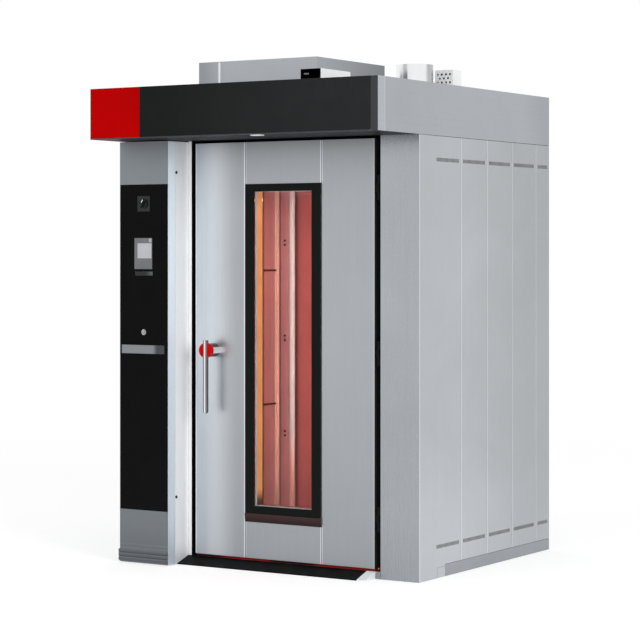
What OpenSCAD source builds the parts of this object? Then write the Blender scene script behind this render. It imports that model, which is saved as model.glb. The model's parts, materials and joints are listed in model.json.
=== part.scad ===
// Rotating rack oven: a walk-in chamber that turns one tall rack of trays in hot air.
// Millimetres. X runs to the right, Y to the back and Z up. The origin is on the floor, under the
// middle of the whole box. The names that start with x_, y_ and z_ are planes in this frame.

/* [Casing] */
// Width of the lower body
body_w = 1654; // [1640:2:1720]
// Depth from the door face to the back
body_d = 1402; // [1390:2:1480]
// Height of the top of the upper casing
total_h = 2400; // [2390:5:2480]
// Height of the upper casing
hood_h = 255; // [235:5:262]
// Reach of the upper casing in front of the door face
hood_reach = 387; // [300:1:450]
// Reach of the upper casing past the left side of the body
hood_side_reach = 26; // [16:1:60]
// Thickness of every outer sheet
panel_t = 2; // [1.6:0.1:3]
// Depth of the roof deck below the top of the upper casing
roof_drop = 100; // [90:5:110]
// Depth of the closed top of the casing behind the door face
hood_top_d = 150; // [100:5:160]
// Height of the base frame
base_h = 58; // [50:1:70]
// Width of the base frame's rails
rail_w = 60; // [50:1:70]

/* [Side panels] */
// Depth of the first side panel
first_panel_d = 420; // [390:2:440]
// Depth of each panel after it
side_pitch = 274; // [260:1:280]
// Number of panels on each side
side_panels = 5; // [5:1:5]
// Open seam between two panels
seam = 3; // [1:0.5:4]
// Width of the bevel along each upright edge
edge_w = 5; // [2:0.5:8]
// Depth of that bevel
edge_d = 1.2; // [0.5:0.1:1.5]
// Depth of the middle of the upper row of air slots below the upper casing
upper_slots_drop = 116; // [90:1:160]
// Height of the middle of the lower row of air slots
lower_slots_z = 152; // [120:1:200]
// Height of an air slot
slot_h = 18; // [10:1:24]
// Width of an air slot
slot_w = 8; // [4:0.5:8]
// Spacing of the air slots
slot_pitch = 12; // [10:0.5:20]
// Plain strip beside each seam, where the rows of slots stop
slot_margin = 20; // [15:1:40]
// Depth of the corner panel's part that reaches down to the floor
floor_panel_d = 258; // [240:1:280]
// Width of the foot cover in it
foot_cover_w = 80; // [60:1:90]
// Height of the foot cover
foot_cover_h = 51; // [40:1:54]

/* [Front] */
// Width of the control column
column_w = 303; // [290:1:330]
// Reach of the control column in front of the door face
column_reach = 176; // [150:1:200]
// Depth of the column's hinged cover
cover_d = 60; // [50:1:70]
// Width of the steel strip between the column and the door gap
jamb_w = 20; // [15:1:30]
// Width of the post to the right of the door
post_w = 214; // [190:1:230]
// Gap beside the door on its lock side
lock_gap = 25; // [20:1:30]
// Gap beside the door on its hinge side
hinge_gap = 34; // [28:1:40]
// Gap between the door and the upper casing
head_gap = 14; // [8:1:20]

/* [Door] */
// Height of the door's lower edge above the floor
door_rise = 48; // [44:1:60]
// Thickness of the door
door_t = 80; // [70:1:90]
// Thickness of the seal between the door and the chamber mouth
seal_t = 10; // [6:0.5:14]
// Width of the window frame
window_w = 449; // [400:1:480]
// Height of the window frame's lower edge above the floor
window_z = 273; // [265:1:300]
// Distance of the window frame below the top of the door
window_head = 210; // [190:1:350]
// Shift of the window to the right of the door's middle
window_shift = 1; // [-20:1:20]
// Width of the window frame's upright borders
window_side = 55; // [40:1:70]
// Height of the window frame's level borders
window_bar = 38; // [30:1:60]
// Height of the sill below the window frame
sill_h = 44; // [30:1:60]
// Thickness of a window pane
pane_t = 6; // [4:0.5:8]

/* [Handle] */
// Distance of the handle's pivot from the door's free edge
handle_x = 114; // [100:1:130]
// Height of the handle's pivot
handle_z = 1085; // [1000:1:1200]
// Radius of the steel stand-off
standoff_r = 35; // [20:1:36]
// Length of the stand-off
standoff_l = 55; // [45:1:80]
// Radius of the red disc
disc_r = 37; // [36:1:42]
// Thickness of the red disc behind the bar that lies in its groove
disc_web = 3.5; // [2:0.5:6]
// Radius of the bar
bar_r = 14; // [10:0.5:15]
// Depth of the bar's axis behind the front of the disc
bar_sink = 8; // [6:0.5:9]
// Length of the bar below the pivot
bar_down = 319; // [250:1:350]
// Length of the bar above the pivot
bar_up = 52; // [44:1:80]
// Radius of the spindle
spindle_r = 8; // [6:0.5:9]
// Radius of the release knob inside the door
release_r = 28; // [20:1:32]

/* [Controls] */
// Height of the lower edge of the glass panel
glass_z = 271; // [200:1:320]
// Distance of the glass panel below the top of the column
glass_head = 217; // [180:1:230]
// Thickness of the glass panels
glass_t = 6; // [5:0.5:8]
// Distance of the display's lower edge below the top of the glass panel
display_drop = 429; // [400:1:500]
// Width of the display unit
display_w = 110; // [100:1:140]
// Height of the display unit
display_h = 157; // [140:1:200]
// Width of the screen
screen_w = 88; // [80:1:100]
// Height of the screen
screen_h = 77; // [60:1:100]
// Distance of the middle of the main switch below the top of the glass panel
switch_drop = 98; // [60:1:140]
// Width and height of the switch plate
switch_plate_w = 78; // [60:1:90]
// Radius of the switch knob
knob_r = 24; // [18:1:28]
// Height of the push button
button_z = 1174; // [1140:1:1300]
// Radius of the push button
button_r = 11; // [8:0.5:15]
// Travel of the push button
button_travel = 3; // [2:0.5:3]
// Height of the lower edge of the trim bar
trim_z = 1066; // [1000:1:1090]
// Height of the trim bar
trim_h = 43; // [30:1:50]
// Length of the trim bar
trim_w = 258; // [240:1:280]

/* [Chamber] */
// Height of the chamber floor
floor_z = 36; // [30:1:42]
// Reach of the chamber past each upright edge of the door
chamber_side = 119; // [112:1:126]
// Depth of the lid of the fan space below the roof deck
lid_drop = 100; // [80:1:120]
// Space between the chamber's rear wall and the outer rear panels
rear_space = 287; // [260:1:310]
// Overlap of the closed door on the chamber mouth
mouth_lap = 26; // [24:1:40]
// Distance of the top of the chamber mouth below the ceiling
mouth_head = 35; // [30:1:60]
// Thickness of the inner sheets
liner_t = 2; // [1.5:0.1:3]
// Thickness of the mouth frame
mouth_t = 4; // [3:0.5:8]
// Thickness of the wall insulation
wool_t = 80; // [70:1:90]
// Height of the fan space above the ceiling
plenum_h = 198; // [190:1:206]
// Reach of the entry ramp in front of the door face
ramp_reach = 97; // [80:1:120]
// Spacing of the air blades on the left wall
blade_pitch = 168; // [160:1:172]
// Number of air blades
blades = 6; // [4:1:6]
// Flat width of an air blade
blade_flat = 88; // [70:1:98]
// Radius of the blade's edge, which turns into the chamber
blade_r = 27; // [15:1:32]
// Flat width of the rearmost blade
last_flat = 70; // [50:1:72]
// Length of the cartridge of heating rods
rod_l = 1400; // [1200:10:1500]
// Length of the steam shelves
steam_l = 500; // [400:10:560]
// Spacing of the steam shelves
shelf_pitch = 90; // [80:1:110]
// Number of steam shelves
shelves = 8; // [4:1:10]
// Height of each chamber lamp
lamp_l = 1450; // [1200:10:1500]

/* [Drive and roof] */
// Module of the drive gears
gear_m = 4; // [3.5:0.1:4]
// Teeth of the gear on the rack shaft
gear_teeth = 32; // [32:4:32]
// Teeth of the pinion
pinion_teeth = 16; // [16:4:16]
// Width of the drive gears
gear_w = 25; // [15:1:30]
// Radius of the rack shaft
shaft_r = 20; // [15:0.5:22]
// Width of the drive cover
drive_w = 722; // [700:2:760]
// Depth of the drive cover
drive_d = 670; // [620:2:690]
// Height of the drive cover above the roof deck
drive_h = 260; // [240:2:280]
// Radius of the fan wheel
fan_r = 200; // [160:1:210]
// Height of the fan wheel
fan_h = 77; // [60:1:90]
// Space between the fan wheel and the plane of the left air blades
fan_wall_gap = 35; // [30:1:60]
// Radius of the fan shaft
fan_shaft_r = 12; // [8:0.5:14]
// Outer radius of the flue collar
flue_r = 100; // [80:1:110]
// Height of the flue collar above the roof deck
flue_h = 280; // [240:1:300]
// Wall of the flue collar
flue_t = 2; // [1.5:0.1:3]

/* [Fits] */
// Gap between fixed pieces that meet
joint_gap = 0.3; // [0.2:0.05:0.5]
// Radial clearance of every turning fit
fit = 0.05; // [0.02:0.01:0.1]
// Clearance of an opening round what passes through it
pass_gap = 4; // [2:0.5:6]

/* [Hidden] */
$fn = 64;

// The casing's planes
overall_w = body_w + hood_side_reach;
x_right = overall_w / 2;
x_hood_left = -overall_w / 2;
x_left = x_right - body_w;
y_face = (hood_reach - body_d) / 2;
y_back = y_face + body_d;
y_hood = y_face - hood_reach;
z_top = total_h;
z_hood = total_h - hood_h;
z_roof = total_h - roof_drop;
y_step = y_face + hood_top_d;

// The front's planes
x_column = x_left + column_w;
column_cx = (x_left + x_column) / 2;
y_column = y_face - column_reach;
y_cover_back = y_column + cover_d;
cover_seam = 2;
y_shell = y_cover_back + cover_seam;
x_post = x_right - post_w;
x_door_left = x_column + jamb_w + lock_gap;
x_door_right = x_post - hinge_gap;
door_cx = (x_door_left + x_door_right) / 2;
z_door_top = z_hood - head_gap;
z_column_top = z_hood - 5;
y_door_back = y_face + door_t;
y_mouth = y_door_back + seal_t;
y_chamber = y_mouth + mouth_t;

// The chamber's planes
x_ch_left = x_door_left - chamber_side;
x_ch_right = x_door_right + chamber_side;
y_ch_rear = y_back - rear_space;
x_mouth_left = x_door_left + mouth_lap;
x_mouth_right = x_door_right - mouth_lap;
x_duct = x_left + panel_t + wool_t + joint_gap * 2;
y_duct = y_back - panel_t - wool_t - joint_gap * 2 - liner_t;
z_lid = z_roof - lid_drop;
ceiling_z = z_lid - plenum_h - liner_t;
mouth_z = ceiling_z - mouth_head;
rack_x = door_cx;
rack_y = (y_door_back + y_ch_rear) / 2;

// The window's planes
window_cx = door_cx + window_shift;
window_h = z_door_top - window_head - window_z;
pane_w = window_w - 2 * window_side;
pane_h = window_h - 2 * window_bar;
sleeve_t = 6;
hole_w = pane_w + 2 * sleeve_t + 2 * joint_gap;
hole_h = pane_h + 2 * sleeve_t + 2 * joint_gap;
hole_z = window_z + window_bar - sleeve_t - joint_gap;

// The controls' planes
z_glass_top = z_column_top - glass_head;
glass_h = z_glass_top - glass_z;
display_z = z_glass_top - display_drop;
switch_z = z_glass_top - switch_drop;
upper_slots_z = z_hood - upper_slots_drop;

// The handle's places
handle_px = x_door_left + handle_x;
disc_t = bar_sink + bar_r + joint_gap + disc_web;
y_disc = y_face - standoff_l - joint_gap - disc_t;
y_bar = y_disc + bar_sink;
release_depth = 26;

// The drive's places
gear_pitch_r = gear_m * gear_teeth / 2;
pinion_pitch_r = gear_m * pinion_teeth / 2;
pinion_x = rack_x - gear_pitch_r - pinion_pitch_r;
bearing_r = shaft_r + 22;
bearing_h = 50;
gearbox_w = 84;
gearbox_h = 72;
z_gear = z_roof + gearbox_h + 8;
fan_x = x_ch_left + fan_r + fan_wall_gap;
fan_y = rack_y;
z_fan = ceiling_z + liner_t + 40;
drive_x = rack_x - 267;
drive_y = rack_y - 92.5;
flue_x = rack_x + 127;
flue_y = y_ch_rear - 15;
damper_z = 50;
z_damper = z_roof + damper_z;

// ---------- Shared shapes ----------

// A box between two opposite corners
module slab(lo, hi) translate(lo) cube(hi - lo);

// Round bars along each axis
module rod_x(y, z, x0, x1, r) translate([x0, y, z]) rotate([0, 90, 0]) cylinder(r = r, h = x1 - x0);
module rod_y(x, z, y0, y1, r) translate([x, y0, z]) rotate([-90, 0, 0]) cylinder(r = r, h = y1 - y0);
module rod_z(x, y, z0, z1, r) translate([x, y, z0]) cylinder(r = r, h = z1 - z0);

// An outline drawn in Y and Z, pulled along X
module along_x(x0, x1) translate([x0, 0, 0]) rotate([90, 0, 90]) linear_extrude(x1 - x0) children();

// An outline drawn in X and Z, pulled along Y
module along_y(y0, y1) translate([0, y1, 0]) rotate([90, 0, 0]) linear_extrude(y1 - y0) children();

// A rectangle that is centred on x and stands on z
module plate_outline(x, z, w, h) translate([x - w / 2, z]) square([w, h]);

// A side panel from a to b along Y, with bevelled upright edges. out is 1 on the right, -1 on the left.
module side_sheet(face, out, a, b, z0, z1) {
    translate([0, 0, z0]) linear_extrude(z1 - z0) polygon([
        [face - out * panel_t, a], [face - out * panel_t, b], [face - out * edge_d, b],
        [face, b - edge_w], [face, a + edge_w], [face - out * edge_d, a]
    ]);
}

// A front or rear panel from a to b along X, with bevelled upright edges. out is 1 at the back.
module end_sheet(face, out, a, b, z0, z1) {
    translate([0, 0, z0]) linear_extrude(z1 - z0) polygon([
        [a, face - out * panel_t], [b, face - out * panel_t], [b, face - out * edge_d],
        [b - edge_w, face], [a + edge_w, face], [a, face - out * edge_d]
    ]);
}

// Flank points of one gear tooth, from the root circle to the tip
function involute(a) = tan(a) - a * PI / 180;
function flank(teeth, m, side) = let (
    pitch_r = m * teeth / 2, base_r = pitch_r * cos(20), tip_r = pitch_r + 0.94 * m,
    half = 86 / teeth, steps = 5
) [for (i = [0 : steps])
    let (r = max(base_r, pitch_r - m) + (tip_r - max(base_r, pitch_r - m)) * i / steps,
        turn = half + (involute(20) - involute(acos(base_r / r))) * 180 / PI)
    [r * cos(turn), side * r * sin(turn)]];

// A spur gear's outline, with a tooth on +X
module gear_outline(teeth, m) {
    low = flank(teeth, m, -1);
    high = flank(teeth, m, 1);
    last = len(high) - 1;
    tooth = concat([[0, 0]], low, [for (i = [last : -1 : 0]) high[i]]);
    circle(r = m * teeth / 2 - 1.2 * m);
    for (i = [0 : teeth - 1]) rotate(i * 360 / teeth) polygon(tooth);
}

// ---------- Base, floor and chamber ----------

foot_r = 20;
foot_h = 10;
stud_r = 8;
feet_x = [x_left + rail_w / 2, x_right - rail_w / 2];
feet_y = [y_mouth + rail_w, (y_mouth + y_back) / 2, y_back - rail_w / 2];

module base_frame() {
    color([0.62, 0.63, 0.65]) difference() {
        union() {
            slab([x_left, y_face + joint_gap, 0], [x_left + rail_w, y_back, base_h]);
            slab([x_right - rail_w, y_mouth + joint_gap, 0], [x_right - panel_t, y_back, base_h]);
            slab([x_right - panel_t, y_face + floor_panel_d, 0], [x_right, y_back, base_h]);
            slab([x_left, y_back - rail_w, 0], [x_right, y_back, base_h]);
        }
        for (x = feet_x, y = feet_y) {
            rod_z(x, y, -1, foot_h + 2, foot_r + 2);
            rod_z(x, y, 0, base_h - 6, stud_r + joint_gap);
        }
    }
}

module levelling_feet() {
    color([0.3, 0.3, 0.32]) for (x = feet_x, y = feet_y) {
        rod_z(x, y, 0, foot_h, foot_r);
        rod_z(x, y, foot_h, base_h - 6 - joint_gap, stud_r);
    }
}

// The floor narrows to the mouth, and widens again to the threshold between the jambs.
// inset draws the outline that much smaller.
module floor_outline(inset) {
    x_a = x_column + jamb_w + 1 + inset;
    x_b = x_post - 1 - inset;
    x_c = x_left + rail_w + joint_gap + inset;
    x_d = x_right - rail_w - joint_gap - inset;
    x_e = x_mouth_left + inset;
    x_f = x_mouth_right - inset;
    y_front = y_face + inset;
    y_lip = y_mouth - joint_gap - inset;
    y_inner = y_chamber + joint_gap + inset;
    y_rear = y_back - rail_w - joint_gap - inset;
    polygon([
        [x_a, y_front], [x_b, y_front], [x_b, y_lip], [x_f, y_lip], [x_f, y_inner], [x_d, y_inner],
        [x_d, y_rear], [x_c, y_rear], [x_c, y_inner], [x_e, y_inner], [x_e, y_lip], [x_a, y_lip]
    ]);
}

// A steel floor pan, folded down to the ground all round
module chamber_floor() {
    color([0.66, 0.66, 0.67]) difference() {
        linear_extrude(floor_z) floor_outline(0);
        translate([0, 0, -1]) linear_extrude(floor_z - liner_t + 1) floor_outline(liner_t);
    }
}

module entry_ramp() {
    nose = 5;
    color([0.08, 0.08, 0.08]) along_x(x_column + joint_gap, x_door_right + 5) polygon([
        [y_face - ramp_reach, 0], [y_face - ramp_reach, nose],
        [y_face - joint_gap, floor_z], [y_face - joint_gap, 0]
    ]);
}

// Blade number k, counted from the rear, starts here along Y
blade_end_gap = 39;
function blade_y(k) = y_ch_rear - blade_end_gap - blade_r - last_flat - k * blade_pitch;

module blade_outline(flat_l) {
    translate([-liner_t, 0]) square([liner_t, flat_l]);
    translate([blade_r, flat_l]) intersection() {
        difference() {
            circle(r = blade_r + liner_t);
            circle(r = blade_r);
        }
        translate([-blade_r - liner_t, 0]) square(blade_r + liner_t);
    }
}

// Upright blades with turned edges, and slots between them that let the hot air through
module air_blades() {
    shutter_parts = [0.364, 0.735];
    shutter_gap = 12;
    color([0.78, 0.5, 0.42]) for (k = [0 : blades - 1]) difference() {
        translate([x_ch_left, blade_y(k), floor_z])
            linear_extrude(ceiling_z - floor_z) blade_outline(k == 0 ? last_flat : blade_flat);
        if (k == 1) for (part = shutter_parts) {
            z = floor_z + part * (ceiling_z - floor_z);
            slab([x_ch_left - liner_t - 1, blade_y(k) - 1, z - shutter_gap / 2],
                [x_ch_left + blade_r / 2, blade_y(k) + blade_flat + blade_r * 0.8, z + shutter_gap / 2]);
        }
    }
}

rear_slot = 9;

module chamber_walls() {
    color([0.7, 0.4, 0.36]) {
        slab([x_ch_left + rear_slot, y_ch_rear, floor_z],
            [x_ch_right - joint_gap, y_ch_rear + liner_t, ceiling_z]);
        slab([x_ch_right, y_chamber + joint_gap, floor_z], [x_ch_right + liner_t, y_duct, z_lid]);
    }
}

fan_inlet_r = 120;
ceiling_lap = 50;

module chamber_ceiling() {
    color([0.7, 0.4, 0.36]) difference() {
        slab([x_ch_left - ceiling_lap, y_chamber + joint_gap, ceiling_z],
            [x_ch_right, y_ch_rear + liner_t, ceiling_z + liner_t]);
        rod_z(rack_x, rack_y, ceiling_z - 1, ceiling_z + liner_t + 1, shaft_r + pass_gap);
        rod_z(fan_x, fan_y, ceiling_z - 1, ceiling_z + liner_t + 1, fan_inlet_r);
    }
}

// The holes that the shafts and the flue need in a level sheet
module roof_holes(z0, z1) {
    rod_z(rack_x, rack_y, z0 - 1, z1 + 1, shaft_r + pass_gap);
    rod_z(fan_x, fan_y, z0 - 1, z1 + 1, fan_shaft_r + pass_gap);
    rod_z(flue_x, flue_y, z0 - 1, z1 + 1, flue_r - flue_t);
}

// Outer sheets of the air duct: left, rear and the lid of the fan space
module duct_liner() {
    color([0.6, 0.61, 0.62]) {
        slab([x_duct, y_chamber + joint_gap, floor_z], [x_duct + liner_t, y_duct, z_lid - joint_gap]);
        slab([x_duct, y_duct + joint_gap, floor_z],
            [x_ch_right + liner_t, y_duct + liner_t, z_lid - joint_gap]);
        difference() {
            slab([x_duct, y_chamber + joint_gap, z_lid],
                [x_ch_right + liner_t, y_duct + liner_t, z_lid + liner_t]);
            roof_holes(z_lid, z_lid + liner_t);
        }
    }
}

module insulation() {
    x_in_left = x_left + panel_t + joint_gap;
    x_in_right = x_right - panel_t - joint_gap;
    y_front = y_chamber + joint_gap;
    y_rear = y_duct + liner_t + joint_gap;
    color([0.85, 0.8, 0.6]) {
        linear_extrude(floor_z - liner_t - joint_gap) floor_outline(liner_t + joint_gap);
        slab([x_in_left, y_front, base_h], [x_duct - joint_gap, y_rear - joint_gap, z_lid]);
        slab([x_ch_right + liner_t + joint_gap, y_front, base_h], [x_in_right, y_rear - joint_gap, z_lid]);
        slab([x_in_left, y_rear, base_h], [x_in_right, y_back - panel_t - joint_gap, z_lid]);
        slab([x_in_left, y_face + joint_gap * 2, base_h],
            [x_ch_left - joint_gap, y_mouth - joint_gap, z_hood - joint_gap]);
        difference() {
            slab([x_in_left, y_front, z_lid + liner_t + joint_gap],
                [x_in_right, y_back - panel_t - joint_gap, z_roof - panel_t - joint_gap]);
            roof_holes(z_lid, z_roof);
        }
    }
}

// The portal that the door closes on, with the dark box of the lock jamb
module mouth_frame() {
    x_in_left = x_left + panel_t + joint_gap;
    x_in_right = x_right - panel_t - joint_gap;
    x_rail_left = x_left + rail_w + joint_gap;
    x_rail_right = x_right - rail_w - joint_gap;
    z_rail = base_h + joint_gap;
    top = z_roof - panel_t - joint_gap;
    x_box = x_column + jamb_w - 0.5;
    color([0.12, 0.12, 0.12]) {
        along_y(y_mouth, y_chamber) polygon([
            [x_rail_left, 0], [x_rail_left, z_rail], [x_in_left, z_rail], [x_in_left, top],
            [x_in_right, top], [x_in_right, z_rail], [x_rail_right, z_rail], [x_rail_right, 0],
            [x_mouth_right + joint_gap, 0], [x_mouth_right + joint_gap, mouth_z],
            [x_mouth_left - joint_gap, mouth_z], [x_mouth_left - joint_gap, 0]
        ]);
        difference() {
            slab([x_ch_left, y_face + panel_t + joint_gap, 0],
                [x_box, y_mouth - joint_gap, z_hood - joint_gap]);
            slab([x_ch_left + panel_t, y_face + 2 * panel_t + joint_gap, panel_t],
                [x_box - panel_t, y_mouth - joint_gap - panel_t, z_hood - joint_gap - panel_t]);
        }
    }
}

module lock_jamb() {
    color([0.7, 0.71, 0.73])
        slab([x_column + joint_gap, y_face, 0], [x_column + jamb_w, y_face + panel_t, z_hood - joint_gap]);
}

// A folded post: a full-width face and a box section behind it
module front_post() {
    top = z_hood - joint_gap;
    color([0.68, 0.7, 0.72]) difference() {
        union() {
            slab([x_post, y_face, 0], [x_right, y_face + panel_t, top]);
            slab([x_post, y_face, 0], [x_right - panel_t - joint_gap, y_mouth - joint_gap, top]);
        }
        slab([x_post + panel_t, y_face + panel_t, panel_t],
            [x_right - 2 * panel_t - joint_gap, y_mouth - panel_t - joint_gap, top - panel_t]);
    }
}

heater_inset = 100;
heater_x0 = x_ch_left + heater_inset;
heater_x1 = x_ch_right - heater_inset;
heater_y = (y_ch_rear + liner_t + y_duct) / 2;
heater_z = 300;

// Upright heating rods between two header plates, on two end stands
module heater_cartridge() {
    rod_r = 8;
    rods = 10;
    row = 60;
    header_t = 6;
    stand_t = 4;
    span = heater_x1 - heater_x0;
    color([0.45, 0.4, 0.38]) {
        for (i = [0 : rods - 1], side = [-1, 1])
            rod_z(heater_x0 + span * (i + 0.5) / rods, heater_y + side * row / 2,
                heater_z - 1, heater_z + rod_l + 1, rod_r);
        for (z = [heater_z - header_t, heater_z + rod_l])
            slab([heater_x0, heater_y - row, z], [heater_x1, heater_y + row, z + header_t]);
        for (x = [heater_x0, heater_x1 - stand_t])
            slab([x, heater_y - row, floor_z], [x + stand_t, heater_y + row, heater_z + rod_l + header_t]);
    }
}

// A cascade of sloped shelves in the left duct, where water runs down and turns to steam
module steam_generator() {
    x0 = x_duct + liner_t + joint_gap;
    x1 = x_ch_left - ceiling_lap - 3;
    shift = 40;
    stand_over = 60;
    y0 = rack_y - shift - steam_l / 2;
    y1 = y0 + steam_l;
    color([0.5, 0.48, 0.46]) {
        for (y = [y0, y1 - 5])
            slab([x0, y, floor_z], [x1, y + 5, floor_z + shelves * shelf_pitch + stand_over]);
        for (i = [1 : shelves])
            translate([0, 0, floor_z + i * shelf_pitch]) rotate([i % 2 == 0 ? 2 : -2, 0, 0])
                slab([x0 + 1, y0 + 2, 0], [x1 - 1, y1 - 2, 4]);
    }
}

// Tall lamps behind the two stiles of the chamber mouth
module chamber_lamps() {
    lamp_w = 60;
    lamp_d = 28;
    z0 = (floor_z + ceiling_z - lamp_l) / 2;
    color([1, 0.75, 0.4]) for (x = [x_mouth_left - 40 - lamp_w, x_mouth_right + 40])
        difference() {
            slab([x, y_chamber, z0], [x + lamp_w, y_chamber + lamp_d, z0 + lamp_l]);
            slab([x + 4, y_chamber + lamp_d - 4, z0 + 4],
                [x + lamp_w - 4, y_chamber + lamp_d + 1, z0 + lamp_l - 4]);
        }
}

// ---------- Outer panels ----------

function seam_y(i) = i == 0 ? y_face + panel_t + seam / 2 : y_face + first_panel_d + (i - 1) * side_pitch;
function panel_a(i) = seam_y(i) + (i == 0 ? 0 : seam / 2);
function panel_b(i) = i == side_panels - 1 ? y_back - panel_t - joint_gap : seam_y(i + 1) - seam / 2;

// Two rows of upright air slots through one side panel
module slot_rows(face, a, b) {
    run = b - a - 2 * slot_margin;
    count = floor(run / slot_pitch);
    for (z = [lower_slots_z, upper_slots_z], i = [0 : count - 1]) {
        y = a + slot_margin + (i + 0.5) * run / count;
        slab([face - panel_t - 1, y - slot_w / 2, z - slot_h / 2],
            [face + panel_t + 1, y + slot_w / 2, z + slot_h / 2]);
    }
}

panel_z0 = base_h + 2;
panel_z1 = z_hood - 2;
corner_plain = 150;

module right_side_panels() {
    y_floor = y_face + floor_panel_d;
    y_foot = y_floor - foot_cover_w;
    color([0.72, 0.73, 0.75]) {
        for (i = [0 : side_panels - 1]) difference() {
            side_sheet(x_right, 1, panel_a(i), panel_b(i), i == 0 ? 0 : panel_z0, panel_z1);
            slot_rows(x_right, i == 0 ? y_face + corner_plain : panel_a(i), panel_b(i));
            if (i == 0) {
                slab([x_right - panel_t - 1, y_foot, -1],
                    [x_right + 1, y_floor + 1, foot_cover_h]);
                slab([x_right - panel_t - 1, y_floor - 1, -1],
                    [x_right + 1, panel_b(0) + 1, panel_z0]);
            }
        }
        slab([x_right - panel_t, y_foot + 2, 0], [x_right, y_floor - 2, foot_cover_h - 2]);
    }
}

module left_side_panels() {
    color([0.72, 0.73, 0.75]) for (i = [0 : side_panels - 1]) difference() {
        side_sheet(x_left, -1, panel_a(i), panel_b(i), panel_z0, panel_z1);
        slot_rows(x_left, i == 0 ? y_face + corner_plain : panel_a(i), panel_b(i));
    }
}

module rear_panels() {
    count = 4;
    pitch = body_w / count;
    color([0.7, 0.71, 0.73]) for (i = [0 : count - 1]) {
        a = x_left + i * pitch + (i == 0 ? 0 : seam / 2);
        b = x_left + (i + 1) * pitch - (i == count - 1 ? 0 : seam / 2);
        end_sheet(y_back, 1, a, b, panel_z0, panel_z1);
    }
}

// ---------- Upper casing ----------

corner_w = 39;
lip_h = 5;
x_casing_in = x_right - panel_t - joint_gap;
red_w = 308;
x_red = x_hood_left + red_w;

module hood_casing() {
    y_tray = y_hood + glass_t;
    color([0.7, 0.71, 0.73]) {
        slab([x_right - panel_t, y_hood, z_hood], [x_right, y_back, z_top]);
        slab([x_right - corner_w, y_hood, z_hood], [x_right, y_tray - joint_gap, z_top]);
        slab([x_hood_left, y_hood, z_hood], [x_hood_left + panel_t, y_back, z_top]);
        slab([-x_casing_in, y_back - panel_t, z_hood], [x_casing_in, y_back, z_top]);
        slab([-x_casing_in, y_tray, z_top - panel_t], [x_casing_in, y_step, z_top]);
        slab([-x_casing_in, y_step - panel_t, z_roof], [x_casing_in, y_step, z_top - panel_t - joint_gap]);
        slab([-x_casing_in, y_tray, z_hood], [x_casing_in, y_tray + panel_t, z_top - panel_t - joint_gap]);
        slab([-x_casing_in, y_hood, z_hood], [x_right - corner_w - joint_gap, y_tray, z_hood + lip_h]);
    }
}

module hood_underside() {
    y_tray = y_hood + glass_t + panel_t + joint_gap;
    y_end = y_mouth - joint_gap;
    slot_l = 60;
    slots = 16;
    color([0.2, 0.21, 0.22]) {
        difference() {
            slab([-x_casing_in, y_tray, z_hood], [x_casing_in, y_end, z_hood + panel_t]);
            for (i = [0 : slots - 1])
                slab([rack_x - 480 + i * 60, y_face - 90 - slot_l, z_hood - 1],
                    [rack_x - 472 + i * 60, y_face - 90, z_hood + panel_t + 1]);
        }
        slab([-x_casing_in, y_end + joint_gap, z_hood],
            [x_left - joint_gap, y_back - panel_t - joint_gap, z_hood + panel_t]);
    }
}

module hood_glass() {
    color([0.15, 0.15, 0.16]) slab([x_red + 0.5, y_hood, z_hood + lip_h + joint_gap],
        [x_right - corner_w - joint_gap, y_hood + glass_t - joint_gap, z_top]);
}

module hood_red_plate() {
    color([0.7, 0.02, 0.02]) slab([-x_casing_in, y_hood, z_hood + lip_h + joint_gap],
        [x_red - 0.5, y_hood + glass_t - joint_gap, z_top]);
}

module hood_lamp() {
    lamp_w = 55;
    lamp_d = 40;
    color([0.85, 0.86, 0.88]) translate([rack_x + 56, y_hood + 14, z_hood - 5]) {
        cube([lamp_w, lamp_d, 4.7]);
        translate([6, 6, 0]) cube([lamp_w - 12, lamp_d - 12, 5]);
    }
}

// The recessed roof behind the closed top of the casing
module roof_deck() {
    color([0.66, 0.67, 0.68]) difference() {
        slab([-x_casing_in, y_step - panel_t, z_roof - panel_t],
            [x_casing_in, y_back - panel_t - joint_gap, z_roof]);
        roof_holes(z_roof - panel_t, z_roof);
    }
}

// ---------- Roof equipment ----------

module drive_cover() {
    x0 = drive_x - drive_w / 2;
    x1 = drive_x + drive_w / 2;
    y0 = drive_y - drive_d / 2;
    y1 = drive_y + drive_d / 2;
    split = x0 + 129;
    inner = panel_t;
    color([0.6, 0.61, 0.63]) {
        difference() {
            slab([x0, y0, z_roof], [split - 1, y1, z_roof + drive_h]);
            slab([x0 + inner, y0 + inner, z_roof - 1], [split, y1 - inner, z_roof + drive_h - inner]);
        }
        difference() {
            slab([split + 1, y0, z_roof], [x1, y1, z_roof + drive_h]);
            slab([split, y0 + inner, z_roof - 1], [x1 - inner, y1 - inner, z_roof + drive_h - inner]);
        }
        difference() {
            slab([split - 15, y0 + inner, z_roof], [split + 15, y1 - inner, z_roof + drive_h - inner]);
            slab([split - 16, y0 + 2 * inner, z_roof - 1],
                [split + 16, y1 - 2 * inner, z_roof + drive_h - 2 * inner]);
        }
    }
}

pinion_shaft_r = 10;

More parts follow.
